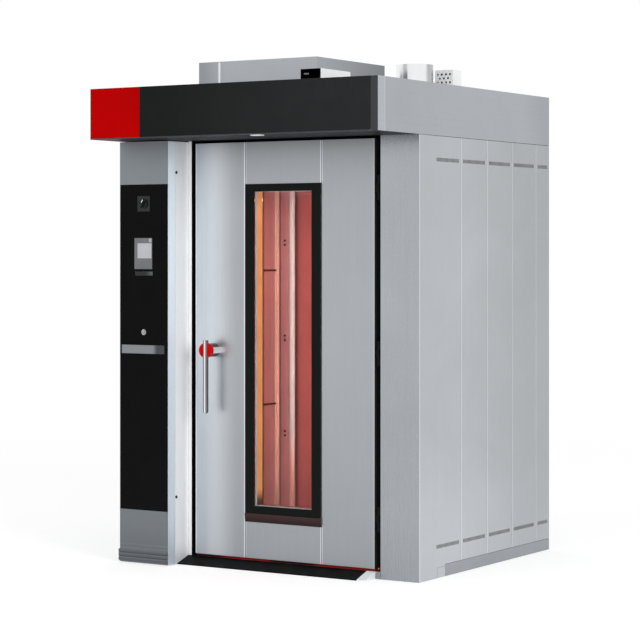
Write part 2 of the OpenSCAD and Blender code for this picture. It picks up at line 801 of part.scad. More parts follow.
// A geared motor that stands on the roof deck beside the rack shaft
module gearmotor() {
    half = gearbox_w / 2;
    motor_r = 36;
    motor_l = 190;
    z_motor = z_roof + motor_r + 2;
    color([0.25, 0.35, 0.45]) difference() {
        union() {
            slab([pinion_x - half, rack_y - half, z_roof],
                [pinion_x + half, rack_y + half, z_roof + gearbox_h]);
            rod_y(pinion_x, z_motor, rack_y - half - motor_l, rack_y - half + 1, motor_r);
            rod_y(pinion_x, z_motor, rack_y - half - motor_l - 30, rack_y - half - motor_l, motor_r - 6);
        }
        rod_z(pinion_x, rack_y, z_roof + 30, z_roof + gearbox_h + 1, pinion_shaft_r + fit);
        for (i = [1 : 7])
            translate([pinion_x, rack_y - half - i * 24, z_motor]) rotate([-90, 0, 0]) difference() {
                cylinder(r = motor_r + 1, h = 5);
                translate([0, 0, -1]) cylinder(r = motor_r - 4, h = 7);
            }
    }
}

module drive_pinion() {
    color([0.75, 0.75, 0.77]) {
        translate([pinion_x, rack_y, z_gear])
            linear_extrude(gear_w) rotate(180 / pinion_teeth) gear_outline(pinion_teeth, gear_m);
        rod_z(pinion_x, rack_y, z_roof + gearbox_h + joint_gap, z_gear + 1, pinion_shaft_r + 4);
        rod_z(pinion_x, rack_y, z_roof + 32, z_gear + gear_w + 3, pinion_shaft_r);
    }
}

module rack_gear() {
    color([0.75, 0.75, 0.77]) difference() {
        union() {
            translate([rack_x, rack_y, z_gear]) linear_extrude(gear_w) gear_outline(gear_teeth, gear_m);
            rod_z(rack_x, rack_y, z_gear - 10, z_gear + 1, shaft_r + 10);
        }
        rod_z(rack_x, rack_y, z_gear - 11, z_gear + gear_w + 1, shaft_r + fit);
    }
}

module shaft_bearing() {
    color([0.35, 0.36, 0.38]) difference() {
        union() {
            rod_z(rack_x, rack_y, z_roof, z_roof + 12, bearing_r);
            rod_z(rack_x, rack_y, z_roof, z_roof + bearing_h, bearing_r - 8);
        }
        rod_z(rack_x, rack_y, z_roof - 1, z_roof + bearing_h + 1, shaft_r + fit);
    }
}

hook_z = ceiling_z - 120;

// The shaft with its collar, and the crosshead whose two hooks lift the rack
module rack_hook() {
    arm = 110;
    arm_d = 50;
    arm_h = 20;
    claw_t = 12;
    claw_h = 46;
    lip = 25;
    collar_z = z_roof + bearing_h + joint_gap;
    color([0.7, 0.7, 0.72]) {
        rod_z(rack_x, rack_y, hook_z + claw_h - 6, z_gear + gear_w + 8, shaft_r);
        rod_z(rack_x, rack_y, collar_z, z_gear - 10 - joint_gap, shaft_r + 8);
        translate([rack_x, rack_y, hook_z]) {
            slab([-arm, -arm_d / 2, claw_h - 1], [arm, arm_d / 2, claw_h - 1 + arm_h]);
            for (turn = [0, 180]) rotate(turn) {
                slab([arm - claw_t, -arm_d / 2, 0], [arm, arm_d / 2, claw_h]);
                slab([arm - claw_t - lip, -arm_d / 2, 0], [arm, arm_d / 2, claw_t]);
            }
        }
    }
}

module fan_motor() {
    motor_r = 85;
    motor_l = 190;
    color([0.25, 0.35, 0.45]) difference() {
        union() {
            rod_z(fan_x, fan_y, z_roof, z_roof + 12, motor_r + 12);
            rod_z(fan_x, fan_y, z_roof, z_roof + motor_l, motor_r);
            rod_z(fan_x, fan_y, z_roof + motor_l, z_roof + motor_l + 22, motor_r - 8);
        }
        rod_z(fan_x, fan_y, z_roof - 1, z_roof + 50, fan_shaft_r + fit);
        for (i = [0 : 8])
            translate([fan_x, fan_y, z_roof + 24 + i * 18]) difference() {
                cylinder(r = motor_r + 1, h = 8);
                translate([0, 0, -1]) cylinder(r = motor_r - 6, h = 10);
            }
    }
}

module fan_wheel() {
    vanes = 12;
    inner = fan_r * 0.58;
    color([0.6, 0.6, 0.62]) {
        rod_z(fan_x, fan_y, z_fan, z_roof + 48, fan_shaft_r);
        rod_z(fan_x, fan_y, z_fan, z_fan + fan_h, fan_shaft_r + 20);
        rod_z(fan_x, fan_y, z_fan + fan_h - 4, z_fan + fan_h, fan_r);
        difference() {
            rod_z(fan_x, fan_y, z_fan, z_fan + 3, fan_r);
            rod_z(fan_x, fan_y, z_fan - 1, z_fan + 4, inner);
        }
        for (i = [0 : vanes - 1])
            translate([fan_x, fan_y, z_fan + 2]) rotate(i * 360 / vanes)
                translate([inner + 2, 0, 0]) rotate(-25)
                    slab([0, -1.5, 0], [(fan_r - inner) * 0.94, 1.5, fan_h - 4]);
    }
}

axle_r = 5;
damper_ring_t = 4;
damper_ring_h = 90;

// A spigot for the flue pipe, on a thicker ring that carries the damper's axle
module flue_collar() {
    ring_r = flue_r + damper_ring_t;
    color([0.75, 0.76, 0.78]) difference() {
        union() {
            rod_z(flue_x, flue_y, z_roof, z_roof + 3, flue_r + 25);
            rod_z(flue_x, flue_y, z_roof, z_roof + damper_ring_h, ring_r);
            rod_z(flue_x, flue_y, z_roof, z_roof + flue_h, flue_r);
        }
        rod_z(flue_x, flue_y, z_roof - 1, z_roof + flue_h + 1, flue_r - flue_t);
        rod_y(flue_x, z_damper, flue_y - ring_r - 1, flue_y + ring_r + 1, axle_r + fit);
    }
}

// A round plate on an axle, with a lever behind the collar
module flue_damper() {
    y_out = flue_y + flue_r + damper_ring_t;
    plate_r = flue_r - flue_t - 2;
    lever_l = 60;
    lever_t = 4;
    color([0.6, 0.6, 0.62]) {
        rod_z(flue_x, flue_y, z_damper - 1, z_damper + 1, plate_r);
        rod_y(flue_x, z_damper, flue_y - flue_r - damper_ring_t - 2, y_out + 10, axle_r);
        slab([flue_x - axle_r, y_out + 4, z_damper],
            [flue_x + axle_r, y_out + 4 + lever_t, z_damper + lever_l]);
    }
}

module vent_box() {
    w = 110;
    d = 100;
    x0 = flue_x + 45;
    y0 = flue_y + flue_r + 42;
    h = 260;
    hole_r = 6;
    hole_pitch = 25;
    color([0.93, 0.93, 0.94]) difference() {
        slab([x0, y0, z_roof], [x0 + w, y0 + d, z_roof + h]);
        slab([x0 + panel_t, y0 + panel_t, z_roof - 1],
            [x0 + w - panel_t, y0 + d - panel_t, z_roof + h - panel_t]);
        for (row = [0 : 3], col = [0 : 3])
            if (row % 2 == 0 || col < 3)
                rod_y(x0 + 17.5 + (col + (row % 2) / 2) * hole_pitch,
                    z_roof + h - 24 - row * hole_pitch * 0.866, y0 - 1, y0 + panel_t + 1, hole_r);
    }
}

module inverter_box() {
    w = 114;
    d = 280;
    h = 70;
    x0 = rack_x + 197;
    y0 = y_face - 145;
    color([0.9, 0.9, 0.91]) slab([x0, y0 + 4, z_top], [x0 + w, y0 + d, z_top + h]);
    color([0.08, 0.08, 0.08]) slab([x0 + 1, y0, z_top + 1], [x0 + w - 1, y0 + 5, z_top + h - 1]);
}

// ---------- Control column ----------

column_z0 = 3;
hinge_axis_x = x_left - 6;
hinge_axis_y = y_cover_back + cover_seam / 2;
cover_hinge_z = [300, 1070, z_column_top - 300];
cover_knuckle = 20;
cover_knuckle_r = 5;
cover_pin_r = 2.5;
leaf_w = 30;

module column_shell() {
    color([0.8, 0.81, 0.83]) {
        difference() {
            slab([x_left, y_shell, 0], [x_column, y_face - joint_gap, z_column_top]);
            slab([x_left + panel_t, y_shell - 1, panel_t],
                [x_column - panel_t, y_face - joint_gap - panel_t, z_column_top - panel_t]);
            for (z = screw_z) rod_x(screw_y, z, x_column - panel_t - 1, x_column + 1, screw_r + joint_gap);
        }
        for (z = cover_hinge_z) {
            for (up = [0, 2])
                rod_z(hinge_axis_x, hinge_axis_y, z + up * cover_knuckle, z + (up + 1) * cover_knuckle,
                    cover_knuckle_r);
            rod_z(hinge_axis_x, hinge_axis_y, z, z + 3 * cover_knuckle, cover_pin_r);
            for (up = [0, 2])
                slab([x_left - 2, hinge_axis_y, z + up * cover_knuckle],
                    [x_left, hinge_axis_y + leaf_w, z + (up + 1) * cover_knuckle]);
        }
    }
}

screw_y = y_shell + 8.5;
screw_z = [341, z_column_top - 157];
screw_r = 4;

module cover_screws() {
    color([0.05, 0.05, 0.05]) for (z = screw_z) difference() {
        union() {
            rod_x(screw_y, z, x_column, x_column + 2.5, screw_r + 4);
            rod_x(screw_y, z, x_column - 12, x_column, screw_r);
        }
        slab([x_column + 1.3, screw_y - 1, z - 6], [x_column + 4, screw_y + 1, z + 6]);
    }
}

module control_board() {
    y1 = y_face - joint_gap - panel_t;
    board_z = 620;
    board_w = 230;
    board_h = 1260;
    unit_w = 55;
    unit_h = 110;
    unit_d = 50;
    unit_pitch = 70;
    row_pitch = 290;
    color([0.8, 0.8, 0.78])
        slab([column_cx - board_w / 2, y1 - 4, board_z], [column_cx + board_w / 2, y1, board_z + board_h]);
    color([0.2, 0.2, 0.22]) for (row = [0 : 3], col = [-1 : 1])
        translate([column_cx + col * unit_pitch - unit_w / 2, y1 - 4 - unit_d,
            board_z + 80 + row * row_pitch]) cube([unit_w, unit_d + 1, unit_h]);
}

// The cut-outs that the glass and the cover's front share
module control_cuts() {
    plate_outline(column_cx + display_dx, display_z + 10 - joint_gap, display_w - 20 + 2 * joint_gap,
        display_h - 20 + 2 * joint_gap);
    translate([column_cx, switch_z]) circle(r = switch_shaft_r + fit);
}

display_dx = -2;
switch_shaft_r = 6;
button_stem_r = 4;
y_glass_back = y_column + glass_t;

module column_cover() {
    z1 = z_column_top;
    wall = panel_t;
    groove_z = [55, 76, 96];
    color([0.5, 0.52, 0.54]) difference() {
        slab([x_left, y_column, column_z0], [x_column, y_cover_back, z1]);
        slab([x_left + wall, y_column + wall, column_z0 + wall],
            [x_column - wall, y_cover_back + 1, glass_z - wall]);
        slab([x_left + wall, y_glass_back + wall, column_z0 + wall],
            [x_column - wall, y_cover_back + 1, z1 - wall]);
        slab([x_left + wall, y_column + wall, glass_z + glass_h + wall],
            [x_column - wall, y_cover_back + 1, z1 - wall]);
        slab([x_left + wall, y_column - 1, glass_z], [x_column - wall, y_glass_back, glass_z + glass_h]);
        along_y(y_glass_back - 1, y_glass_back + wall + 1) control_cuts();
        rod_y(column_cx, button_z, y_glass_back - 1, y_glass_back + wall + 1, button_stem_r + fit);
        for (z = groove_z) slab([x_left - 1, y_column - 1, z - 2], [x_column + 1, y_column + 0.8, z + 2]);
    }
    color([0.5, 0.52, 0.54]) for (z = cover_hinge_z) difference() {
        union() {
            rod_z(hinge_axis_x, hinge_axis_y, z + cover_knuckle + joint_gap,
                z + 2 * cover_knuckle - joint_gap, cover_knuckle_r);
            slab([x_left - 2, hinge_axis_y - leaf_w, z + cover_knuckle + joint_gap],
                [x_left, y_cover_back, z + 2 * cover_knuckle - joint_gap]);
        }
        rod_z(hinge_axis_x, hinge_axis_y, z, z + 3 * cover_knuckle, cover_pin_r + fit);
    }
}

module control_glass() {
    rim = panel_t + joint_gap;
    color([0.06, 0.06, 0.06]) difference() {
        slab([x_left + rim, y_column, glass_z + joint_gap],
            [x_column - rim, y_glass_back, glass_z + glass_h - joint_gap]);
        along_y(y_column - 1, y_glass_back + 1) control_cuts();
        rod_y(column_cx, button_z, y_column - 1, y_glass_back + 1, button_r + joint_gap);
    }
}

bezel_t = 3;
screen_right = 3;
screen_top = 26;

module display_unit() {
    x0 = column_cx + display_dx;
    screen_x = x0 + display_w / 2 - screen_right - screen_w;
    screen_z = display_z + display_h - screen_top - screen_h;
    color([0.45, 0.46, 0.47]) difference() {
        union() {
            slab([x0 - display_w / 2, y_column - bezel_t, display_z],
                [x0 + display_w / 2, y_column, display_z + display_h]);
            slab([x0 - display_w / 2 + 10, y_column - 1, display_z + 10],
                [x0 + display_w / 2 - 10, y_column + 40, display_z + display_h - 10]);
        }
        slab([screen_x, y_column - bezel_t - 1, screen_z],
            [screen_x + screen_w, y_column - bezel_t + 1.2, screen_z + screen_h]);
    }
}

module display_screen() {
    x0 = column_cx + display_dx;
    screen_x = x0 + display_w / 2 - screen_right - screen_w;
    screen_z = display_z + display_h - screen_top - screen_h;
    color([0.75, 0.76, 0.78]) slab([screen_x + joint_gap, y_column - bezel_t + 0.2, screen_z + joint_gap],
        [screen_x + screen_w - joint_gap, y_column - bezel_t + 1.2, screen_z + screen_h - joint_gap]);
}

module trim_bar() {
    proud = 15;
    x0 = column_cx - trim_w / 2;
    x1 = column_cx + trim_w / 2;
    color([0.55, 0.57, 0.58]) translate([0, 0, trim_z]) linear_extrude(trim_h) polygon([
        [x0, y_column], [x0, y_column - proud + 2], [x0 + 2, y_column - proud],
        [x1 - 62, y_column - proud], [x1, y_column - 2], [x1, y_column]
    ]);
}

switch_plate_t = 2;

module switch_plate() {
    half = switch_plate_w / 2;
    color([0.2, 0.21, 0.21]) difference() {
        slab([column_cx - half, y_column - switch_plate_t, switch_z - half],
            [column_cx + half, y_column, switch_z + half]);
        rod_y(column_cx, switch_z, y_column - switch_plate_t - 1, y_column + 1, switch_shaft_r + joint_gap);
    }
}

module switch_knob() {
    y1 = y_column - switch_plate_t - joint_gap;
    dial_t = 8;
    grip_t = 16;
    color([0.1, 0.1, 0.1]) {
        rod_y(column_cx, switch_z, y1 - dial_t, y1, knob_r);
        rod_y(column_cx, switch_z, y1 - 1, y_glass_back + panel_t + 8, switch_shaft_r);
        translate([column_cx, 0, switch_z]) rotate([0, 25, 0])
            slab([-6, y1 - dial_t - grip_t, -knob_r + 2], [6, y1 - dial_t + 1, knob_r - 2]);
    }
}

module start_button() {
    proud = 5;
    cap_back = y_glass_back - panel_t - button_travel + 1;
    color([0.6, 0.61, 0.62]) {
        rod_y(column_cx, button_z, y_column - proud, cap_back, button_r);
        rod_y(column_cx, button_z, cap_back - 1, y_glass_back + panel_t + 15, button_stem_r);
    }
}

// ---------- Door ----------

x_skin_a = window_cx - (window_w + seam) / 2;
x_skin_b = window_cx + (window_w + seam) / 2;

module door_skins() {
    z0 = door_rise;
    z1 = z_door_top;
    color([0.76, 0.78, 0.8]) {
        difference() {
            end_sheet(y_face, -1, x_door_left, x_skin_a - seam / 2, z0, z1);
            rod_y(handle_px, handle_z, y_face - 1, y_face + panel_t + 1, spindle_r + joint_gap);
        }
        difference() {
            end_sheet(y_face, -1, x_skin_a + seam / 2, x_skin_b - seam / 2, z0, z1);
            along_y(y_face - 1, y_face + panel_t + 1) plate_outline(window_cx, hole_z, hole_w, hole_h);
        }
        end_sheet(y_face, -1, x_skin_b + seam / 2, x_door_right, z0, z1);
    }
}

pocket_r = release_r + 8;
y_pocket = y_door_back - release_depth - 6;

module door_core() {
    color([0.05, 0.05, 0.05]) difference() {
        slab([x_door_left, y_face + panel_t, door_rise], [x_door_right, y_door_back - liner_t, z_door_top]);
        along_y(y_face, y_door_back) plate_outline(window_cx, hole_z, hole_w, hole_h);
        rod_y(handle_px, handle_z, y_face, y_door_back, spindle_r + joint_gap);
        rod_y(handle_px, handle_z, y_pocket, y_door_back, pocket_r);
    }
}

module door_liner() {
    color([0.7, 0.7, 0.71]) difference() {
        slab([x_door_left, y_door_back - liner_t, door_rise], [x_door_right, y_door_back, z_door_top]);
        along_y(y_door_back - liner_t - 1, y_door_back + 1) plate_outline(window_cx, hole_z, hole_w, hole_h);
        rod_y(handle_px, handle_z, y_door_back - liner_t - 1, y_door_back + 1, pocket_r);
    }
}

bezel_proud = 4;

module window_frame() {
    color([0.11, 0.12, 0.12]) {
        along_y(y_face - bezel_proud, y_face) difference() {
            plate_outline(window_cx, window_z, window_w, window_h);
            plate_outline(window_cx, window_z + window_bar, pane_w, pane_h);
        }
        along_y(y_face - 1, y_door_back) difference() {
            plate_outline(window_cx, window_z + window_bar - sleeve_t,
                pane_w + 2 * sleeve_t, pane_h + 2 * sleeve_t);
            plate_outline(window_cx, window_z + window_bar, pane_w, pane_h);
        }
    }
}

module window_panes() {
    color([0.8, 0.45, 0.3, 0.4]) for (y = [y_face + 3, y_door_back - 3 - pane_t])
        along_y(y, y + pane_t) plate_outline(window_cx, window_z + window_bar + joint_gap,
            pane_w - 2 * joint_gap, pane_h - 2 * joint_gap);
}

module window_sill() {
    z0 = window_z - sill_h;
    color([0.2, 0.1, 0.09]) along_x(window_cx - window_w / 2, window_cx + window_w / 2) polygon([
        [y_face, z0], [y_face - 4, z0], [y_face - 9, window_z - joint_gap], [y_face, window_z - joint_gap]
    ]);
}

// A three-sided seal on the door's back, and the wiper under the door
module door_seal() {
    rib = 14;
    z0 = door_rise + 2;
    z1 = mouth_z + 6;
    xa = x_mouth_left - 5;
    xb = x_mouth_right + 5;
    color([0.45, 0.08, 0.05]) {
        along_y(y_door_back, y_mouth - joint_gap) difference() {
            translate([xa - rib, z0]) square([xb - xa + 2 * rib, z1 + rib - z0]);
            translate([xa, z0 - 1]) square([xb - xa, z1 - z0 + 1]);
        }
        slab([x_door_left + 4, y_face + 12, floor_z + 0.5], [x_door_right - 4, y_face + 40, door_rise]);
    }
}

hinge_x = x_door_right + hinge_gap / 2;
hinge_y = y_face + 8;
hinge_r = 8;
hinge_pin_r = 4;
knuckle_l = 40;
hinge_z = [door_rise + 180, (door_rise + z_door_top) / 2 - 60, z_door_top - 300];

// Fixed knuckles with their pins, on leaves that are fixed to the post
module door_hinges() {
    color([0.15, 0.15, 0.16]) for (z = hinge_z) {
        rod_z(hinge_x, hinge_y, z - 1, z + 3 * knuckle_l + 1, hinge_pin_r);
        for (up = [0, 2]) {
            rod_z(hinge_x, hinge_y, z + up * knuckle_l, z + (up + 1) * knuckle_l, hinge_r);
            slab([hinge_x, hinge_y - 3, z + up * knuckle_l], [x_post, hinge_y + 3, z + (up + 1) * knuckle_l]);
        }
    }
}

module door_hinge_leaves() {
    color([0.15, 0.15, 0.16]) for (z = hinge_z) difference() {
        union() {
            rod_z(hinge_x, hinge_y, z + knuckle_l + joint_gap, z + 2 * knuckle_l - joint_gap, hinge_r);
            slab([x_door_right, hinge_y - 3, z + knuckle_l + joint_gap],
                [hinge_x, hinge_y + 3, z + 2 * knuckle_l - joint_gap]);
        }
        rod_z(hinge_x, hinge_y, z, z + 3 * knuckle_l, hinge_pin_r + fit);
    }
}

// ---------- Handle ----------

module handle_standoff() {
    color([0.8, 0.81, 0.83]) difference() {
        rod_y(handle_px, handle_z, y_face - standoff_l, y_face, standoff_r);
        rod_y(handle_px, handle_z, y_face - standoff_l - 1, y_face + 1, spindle_r + fit);
    }
}

module handle_disc() {
    color([0.75, 0.02, 0.02]) difference() {
        rod_y(handle_px, handle_z, y_disc, y_disc + disc_t, disc_r);
        rod_y(handle_px, handle_z, y_disc - 1, y_disc + disc_t + 1, spindle_r + fit);
        rod_z(handle_px, y_bar, handle_z - disc_r - 1, handle_z + disc_r + 1, bar_r + joint_gap);
    }
}

module handle_bar() {
    color([0.85, 0.86, 0.88]) difference() {
        union() {
            rod_z(handle_px, y_bar, handle_z - bar_down + bar_r, handle_z + bar_up - 3, bar_r);
            translate([handle_px, y_bar, handle_z - bar_down + bar_r]) sphere(r = bar_r);
            rod_z(handle_px, y_bar, handle_z + bar_up - 4, handle_z + bar_up, bar_r - 1.5);
        }
        rod_y(handle_px, handle_z, y_bar + 2, y_bar + bar_r + 1, spindle_r + fit);
    }
}

// The spindle through the door, with the release knob that opens it from inside
module handle_spindle() {
    color([0.6, 0.6, 0.62]) {
        rod_y(handle_px, handle_z, y_bar + 2 + joint_gap, y_door_back - 3, spindle_r);
        rod_y(handle_px, handle_z, y_door_back - 2 - release_depth, y_door_back - 2, release_r);
    }
}

base_frame();
levelling_feet();
chamber_floor();
entry_ramp();
air_blades();
chamber_walls();
chamber_ceiling();
duct_liner();
insulation();
right_side_panels();
left_side_panels();
rear_panels();
front_post();
mouth_frame();
lock_jamb();
roof_deck();
hood_casing();
hood_underside();
hood_glass();
hood_red_plate();
hood_lamp();
column_shell();
cover_screws();
control_board();
drive_cover();
gearmotor();
shaft_bearing();
fan_motor();
heater_cartridge();
steam_generator();
chamber_lamps();
flue_collar();
vent_box();
inverter_box();
door_hinges();
column_cover();
control_glass();
display_unit();
display_screen();
trim_bar();
switch_plate();
switch_knob();
start_button();
door_skins();
door_core();
door_liner();
window_frame();
window_panes();
window_sill();
door_seal();
door_hinge_leaves();
handle_standoff();
handle_bar();
handle_disc();
handle_spindle();
rack_hook();
rack_gear();
drive_pinion();
fan_wheel();
flue_damper();
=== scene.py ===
"""Rotating rack oven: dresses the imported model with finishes, fittings, a studio and a camera."""

from __future__ import annotations

import json
import logging
import math
from dataclasses import dataclass
from enum import Enum
from typing import ClassVar

import bmesh
import bpy
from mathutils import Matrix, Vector


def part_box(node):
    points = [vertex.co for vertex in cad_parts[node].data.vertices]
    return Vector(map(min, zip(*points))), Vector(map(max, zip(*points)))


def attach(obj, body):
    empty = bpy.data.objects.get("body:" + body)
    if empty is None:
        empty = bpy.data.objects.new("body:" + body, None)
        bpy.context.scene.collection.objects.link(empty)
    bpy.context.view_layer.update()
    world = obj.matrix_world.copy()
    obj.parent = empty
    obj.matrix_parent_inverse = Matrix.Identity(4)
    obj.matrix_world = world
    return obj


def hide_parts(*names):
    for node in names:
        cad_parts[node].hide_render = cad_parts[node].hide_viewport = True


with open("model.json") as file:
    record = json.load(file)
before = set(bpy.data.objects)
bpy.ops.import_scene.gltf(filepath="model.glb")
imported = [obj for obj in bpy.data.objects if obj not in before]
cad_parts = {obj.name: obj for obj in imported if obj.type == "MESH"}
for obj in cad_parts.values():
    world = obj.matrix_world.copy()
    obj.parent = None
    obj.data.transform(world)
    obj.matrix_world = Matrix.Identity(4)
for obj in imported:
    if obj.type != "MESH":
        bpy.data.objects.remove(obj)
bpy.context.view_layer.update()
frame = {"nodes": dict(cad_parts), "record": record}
LOG = logging.getLogger("rack_oven")

Colour = tuple[float, float, float]
Point = tuple[float, float, float]
MM = 0.001
SUNK = 0.0004  # how far a fitting reaches into the part that holds it, in metres
PLATE_ROUND = 0.0004  # rounding of a small plate's edges, in metres
ALONG_X, ALONG_Y, ALONG_Z = (1.0, 0.0, 0.0), (0.0, 1.0, 0.0), (0.0, 0.0, 1.0)
WHITE: Colour = (1.0, 1.0, 1.0)


class Body(str, Enum):
    """The bodies that carry pieces made here, as the frame names them."""

    CASING = "casing"
    COLUMN_COVER = "column_cover"
    SWITCH = "main_switch"
    BUTTON = "start_button"
    DOOR = "door"
    HANDLE = "handle"
    RACK = "rack_drive"


class Grain(Enum):
    """Direction in which a sheet was brushed, as the scale of its noise along X, Y and Z."""

    UPRIGHT = (1.0, 1.0, 0.012)
    ACROSS = (0.012, 1.0, 1.0)
    DEEP = (1.0, 0.012, 1.0)
    NONE = (1.0, 1.0, 1.0)


# ---------- Node tools ----------


class Graph:
    """Short calls that add and join the nodes of one tree."""

    def __init__(self, tree: bpy.types.NodeTree) -> None:
        """Keeps the tree.

        Args:
            tree: The shader or geometry tree to build in.
        """
        self.tree = tree

    def add(self, kind: str, inputs: dict[str, object] | None = None, **settings: object) -> bpy.types.Node:
        """Adds a node.

        Args:
            kind: The node's Blender type.
            inputs: Values or sockets by input name.
            settings: Attributes of the node.

        Returns:
            The new node.
        """
        node = self.tree.nodes.new(kind)
        for key, value in settings.items():
            setattr(node, key, value)
        for key, value in (inputs or {}).items():
            self.feed(node.inputs[key], value)
        return node

    def feed(self, socket: bpy.types.NodeSocket, value: object) -> None:
        """Links a socket to an input, or sets the input's value.

        Args:
            socket: The input.
            value: An output socket or a plain value.
        """
        if isinstance(value, bpy.types.NodeSocket):
            self.tree.links.new(value, socket)
        else:
            socket.default_value = value

    def math(self, operation: str, first: object, second: object = 0.0) -> bpy.types.NodeSocket:
        """Returns the result of a Math node with one or two operands."""
        node = self.add("ShaderNodeMath", operation=operation)
        self.feed(node.inputs[0], first)
        self.feed(node.inputs[1], second)
        return node.outputs[0]

    def blend(self, factor: object, first: object, second: object) -> bpy.types.NodeSocket:
        """Returns a colour mixed from two colours by a factor."""
        node = self.add("ShaderNodeMix", data_type="RGBA")
        self.feed(node.inputs[0], factor)
        self.feed(node.inputs[6], first)
        self.feed(node.inputs[7], second)
        return node.outputs[2]

    def mix(self, factor: object, first: bpy.types.NodeSocket,
            second: bpy.types.NodeSocket) -> bpy.types.NodeSocket:
        """Returns a shader mixed from two shaders by a factor."""
        node = self.add("ShaderNodeMixShader", {"Fac": factor})
        self.feed(node.inputs[1], first)
        self.feed(node.inputs[2], second)
        return node.outputs[0]

    def remap(self, value: object, low: object, high: object, start: object = 0.0, end: object = 1.0,
              smooth: bool = False) -> bpy.types.NodeSocket:
        """Returns a value mapped from start..end to low..high, clamped."""
        node = self.add("ShaderNodeMapRange", {"Value": value, "From Min": start, "From Max": end,
                                               "To Min": low, "To Max": high},
                        interpolation_type="SMOOTHSTEP" if smooth else "LINEAR")
        return node.outputs[0]

    def object_point(self) -> bpy.types.NodeSocket:
        """Returns the Object coordinates, which are the oven's own metres."""
        return self.add("ShaderNodeTexCoord").outputs["Object"]

    def stretched(self, scale: Point) -> bpy.types.NodeSocket:
        """Returns the Object coordinates, stretched by a scale along each axis."""
        return self.add("ShaderNodeMapping", {"Vector": self.object_point(), "Scale": scale}).outputs[0]

    def noise(self, vector: bpy.types.NodeSocket, scale: object, detail: float,
              **more: float) -> bpy.types.NodeSocket:
        """Returns a noise of 0 to 1.

        Args:
            vector: The place that it follows.
            scale: Its scale.
            detail: Number of finer layers.
            more: Further values by input name.

        Returns:
            The noise's output.
        """
        values = {"Vector": vector, "Scale": scale, "Detail": detail, **more}
        return self.add("ShaderNodeTexNoise", values).outputs[0]

    def scaled(self, colour: object, level: object) -> bpy.types.NodeSocket:
        """Returns a colour multiplied by a level."""
        node = self.add("ShaderNodeVectorMath", operation="SCALE")
        self.feed(node.inputs[0], colour)
        self.feed(node.inputs["Scale"], level)
        return node.outputs[0]

    def shifted(self, level: object, shifts: tuple[Shift, ...], vector: bpy.types.NodeSocket) -> object:
        """Multiplies a level by soft changes along the axes of a vector.

        Args:
            level: The level, a socket or a number.
            shifts: The changes.
            vector: The place or direction that they follow.

        Returns:
            The changed level.
        """
        parts = self.add("ShaderNodeSeparateXYZ", {"Vector": vector})
        for shift in shifts:
            scale = self.remap(parts.outputs[shift.axis], shift.low, shift.high, shift.start, shift.end,
                               smooth=True)
            level = self.math("MULTIPLY", level, scale)
        return level

    def faded(self, level: object, fades: tuple[PaintedFade, ...]) -> object:
        """Returns a level changed with the place on the oven: painted light and shade."""
        return self.shifted(level, fades, self.object_point()) if fades else level

    def turned(self, level: object, facings: tuple[PaintedFacing, ...]) -> object:
        """Returns a level changed with the way a surface faces in the oven's own frame: painted light and
        shade.
        """
        if not facings:
            return level
        normal = self.add("ShaderNodeNewGeometry").outputs["Normal"]
        local = self.add("ShaderNodeVectorTransform", {"Vector": normal}, vector_type="NORMAL",
                         convert_from="WORLD", convert_to="OBJECT")
        return self.shifted(level, facings, local.outputs[0])

    def bump(self, shader: bpy.types.Node, height: object, strength: float, distance: float) -> None:
        """Roughens a shader's normal by a height.

        Args:
            shader: The shader.
            height: The height's socket.
            strength: Strength of the bump.
            distance: Its depth in metres.
        """
        bump = self.add("ShaderNodeBump", {"Strength": strength, "Distance": distance, "Height": height})
        self.feed(shader.inputs["Normal"], bump.outputs[0])


@dataclass(frozen=True)
class Shift:
    """A soft change of brightness from low to high, between start and end along an axis."""

    axis: int
    start: float
    end: float
    low: float
    high: float


class PaintedFade(Shift):
    """A painted change of brightness across a sheet: painted light and shade along an axis."""


class PaintedFacing(Shift):
    """A painted change of brightness with the way a surface faces: painted light and shade on rolled and bent
    sheets.
    """


def rgba(colour: Colour) -> tuple[float, float, float, float]:
    """Returns a linear colour with full alpha."""
    return (*colour, 1.0)


def srgb(red: int, green: int, blue: int) -> Colour:
    """Returns the linear colour of a screen colour.

    Args:
        red: Red, from 0 to 255.
        green: Green, from 0 to 255.
        blue: Blue, from 0 to 255.

    Returns:
        The colour in linear light.
    """
    def linear(level: int) -> float:
        """Returns one channel in linear light."""
        part = level / 255.0
        return part / 12.92 if part <= 0.04045 else ((part + 0.055) / 1.055) ** 2.4
    return linear(red), linear(green), linear(blue)


def shade(colour: Colour, factor: float, lift: float = 0.0) -> Colour:
    """Returns a colour made darker or lighter, at most white."""
    red, green, blue = [min(1.0, part * factor + lift) for part in colour]
    return red, green, blue


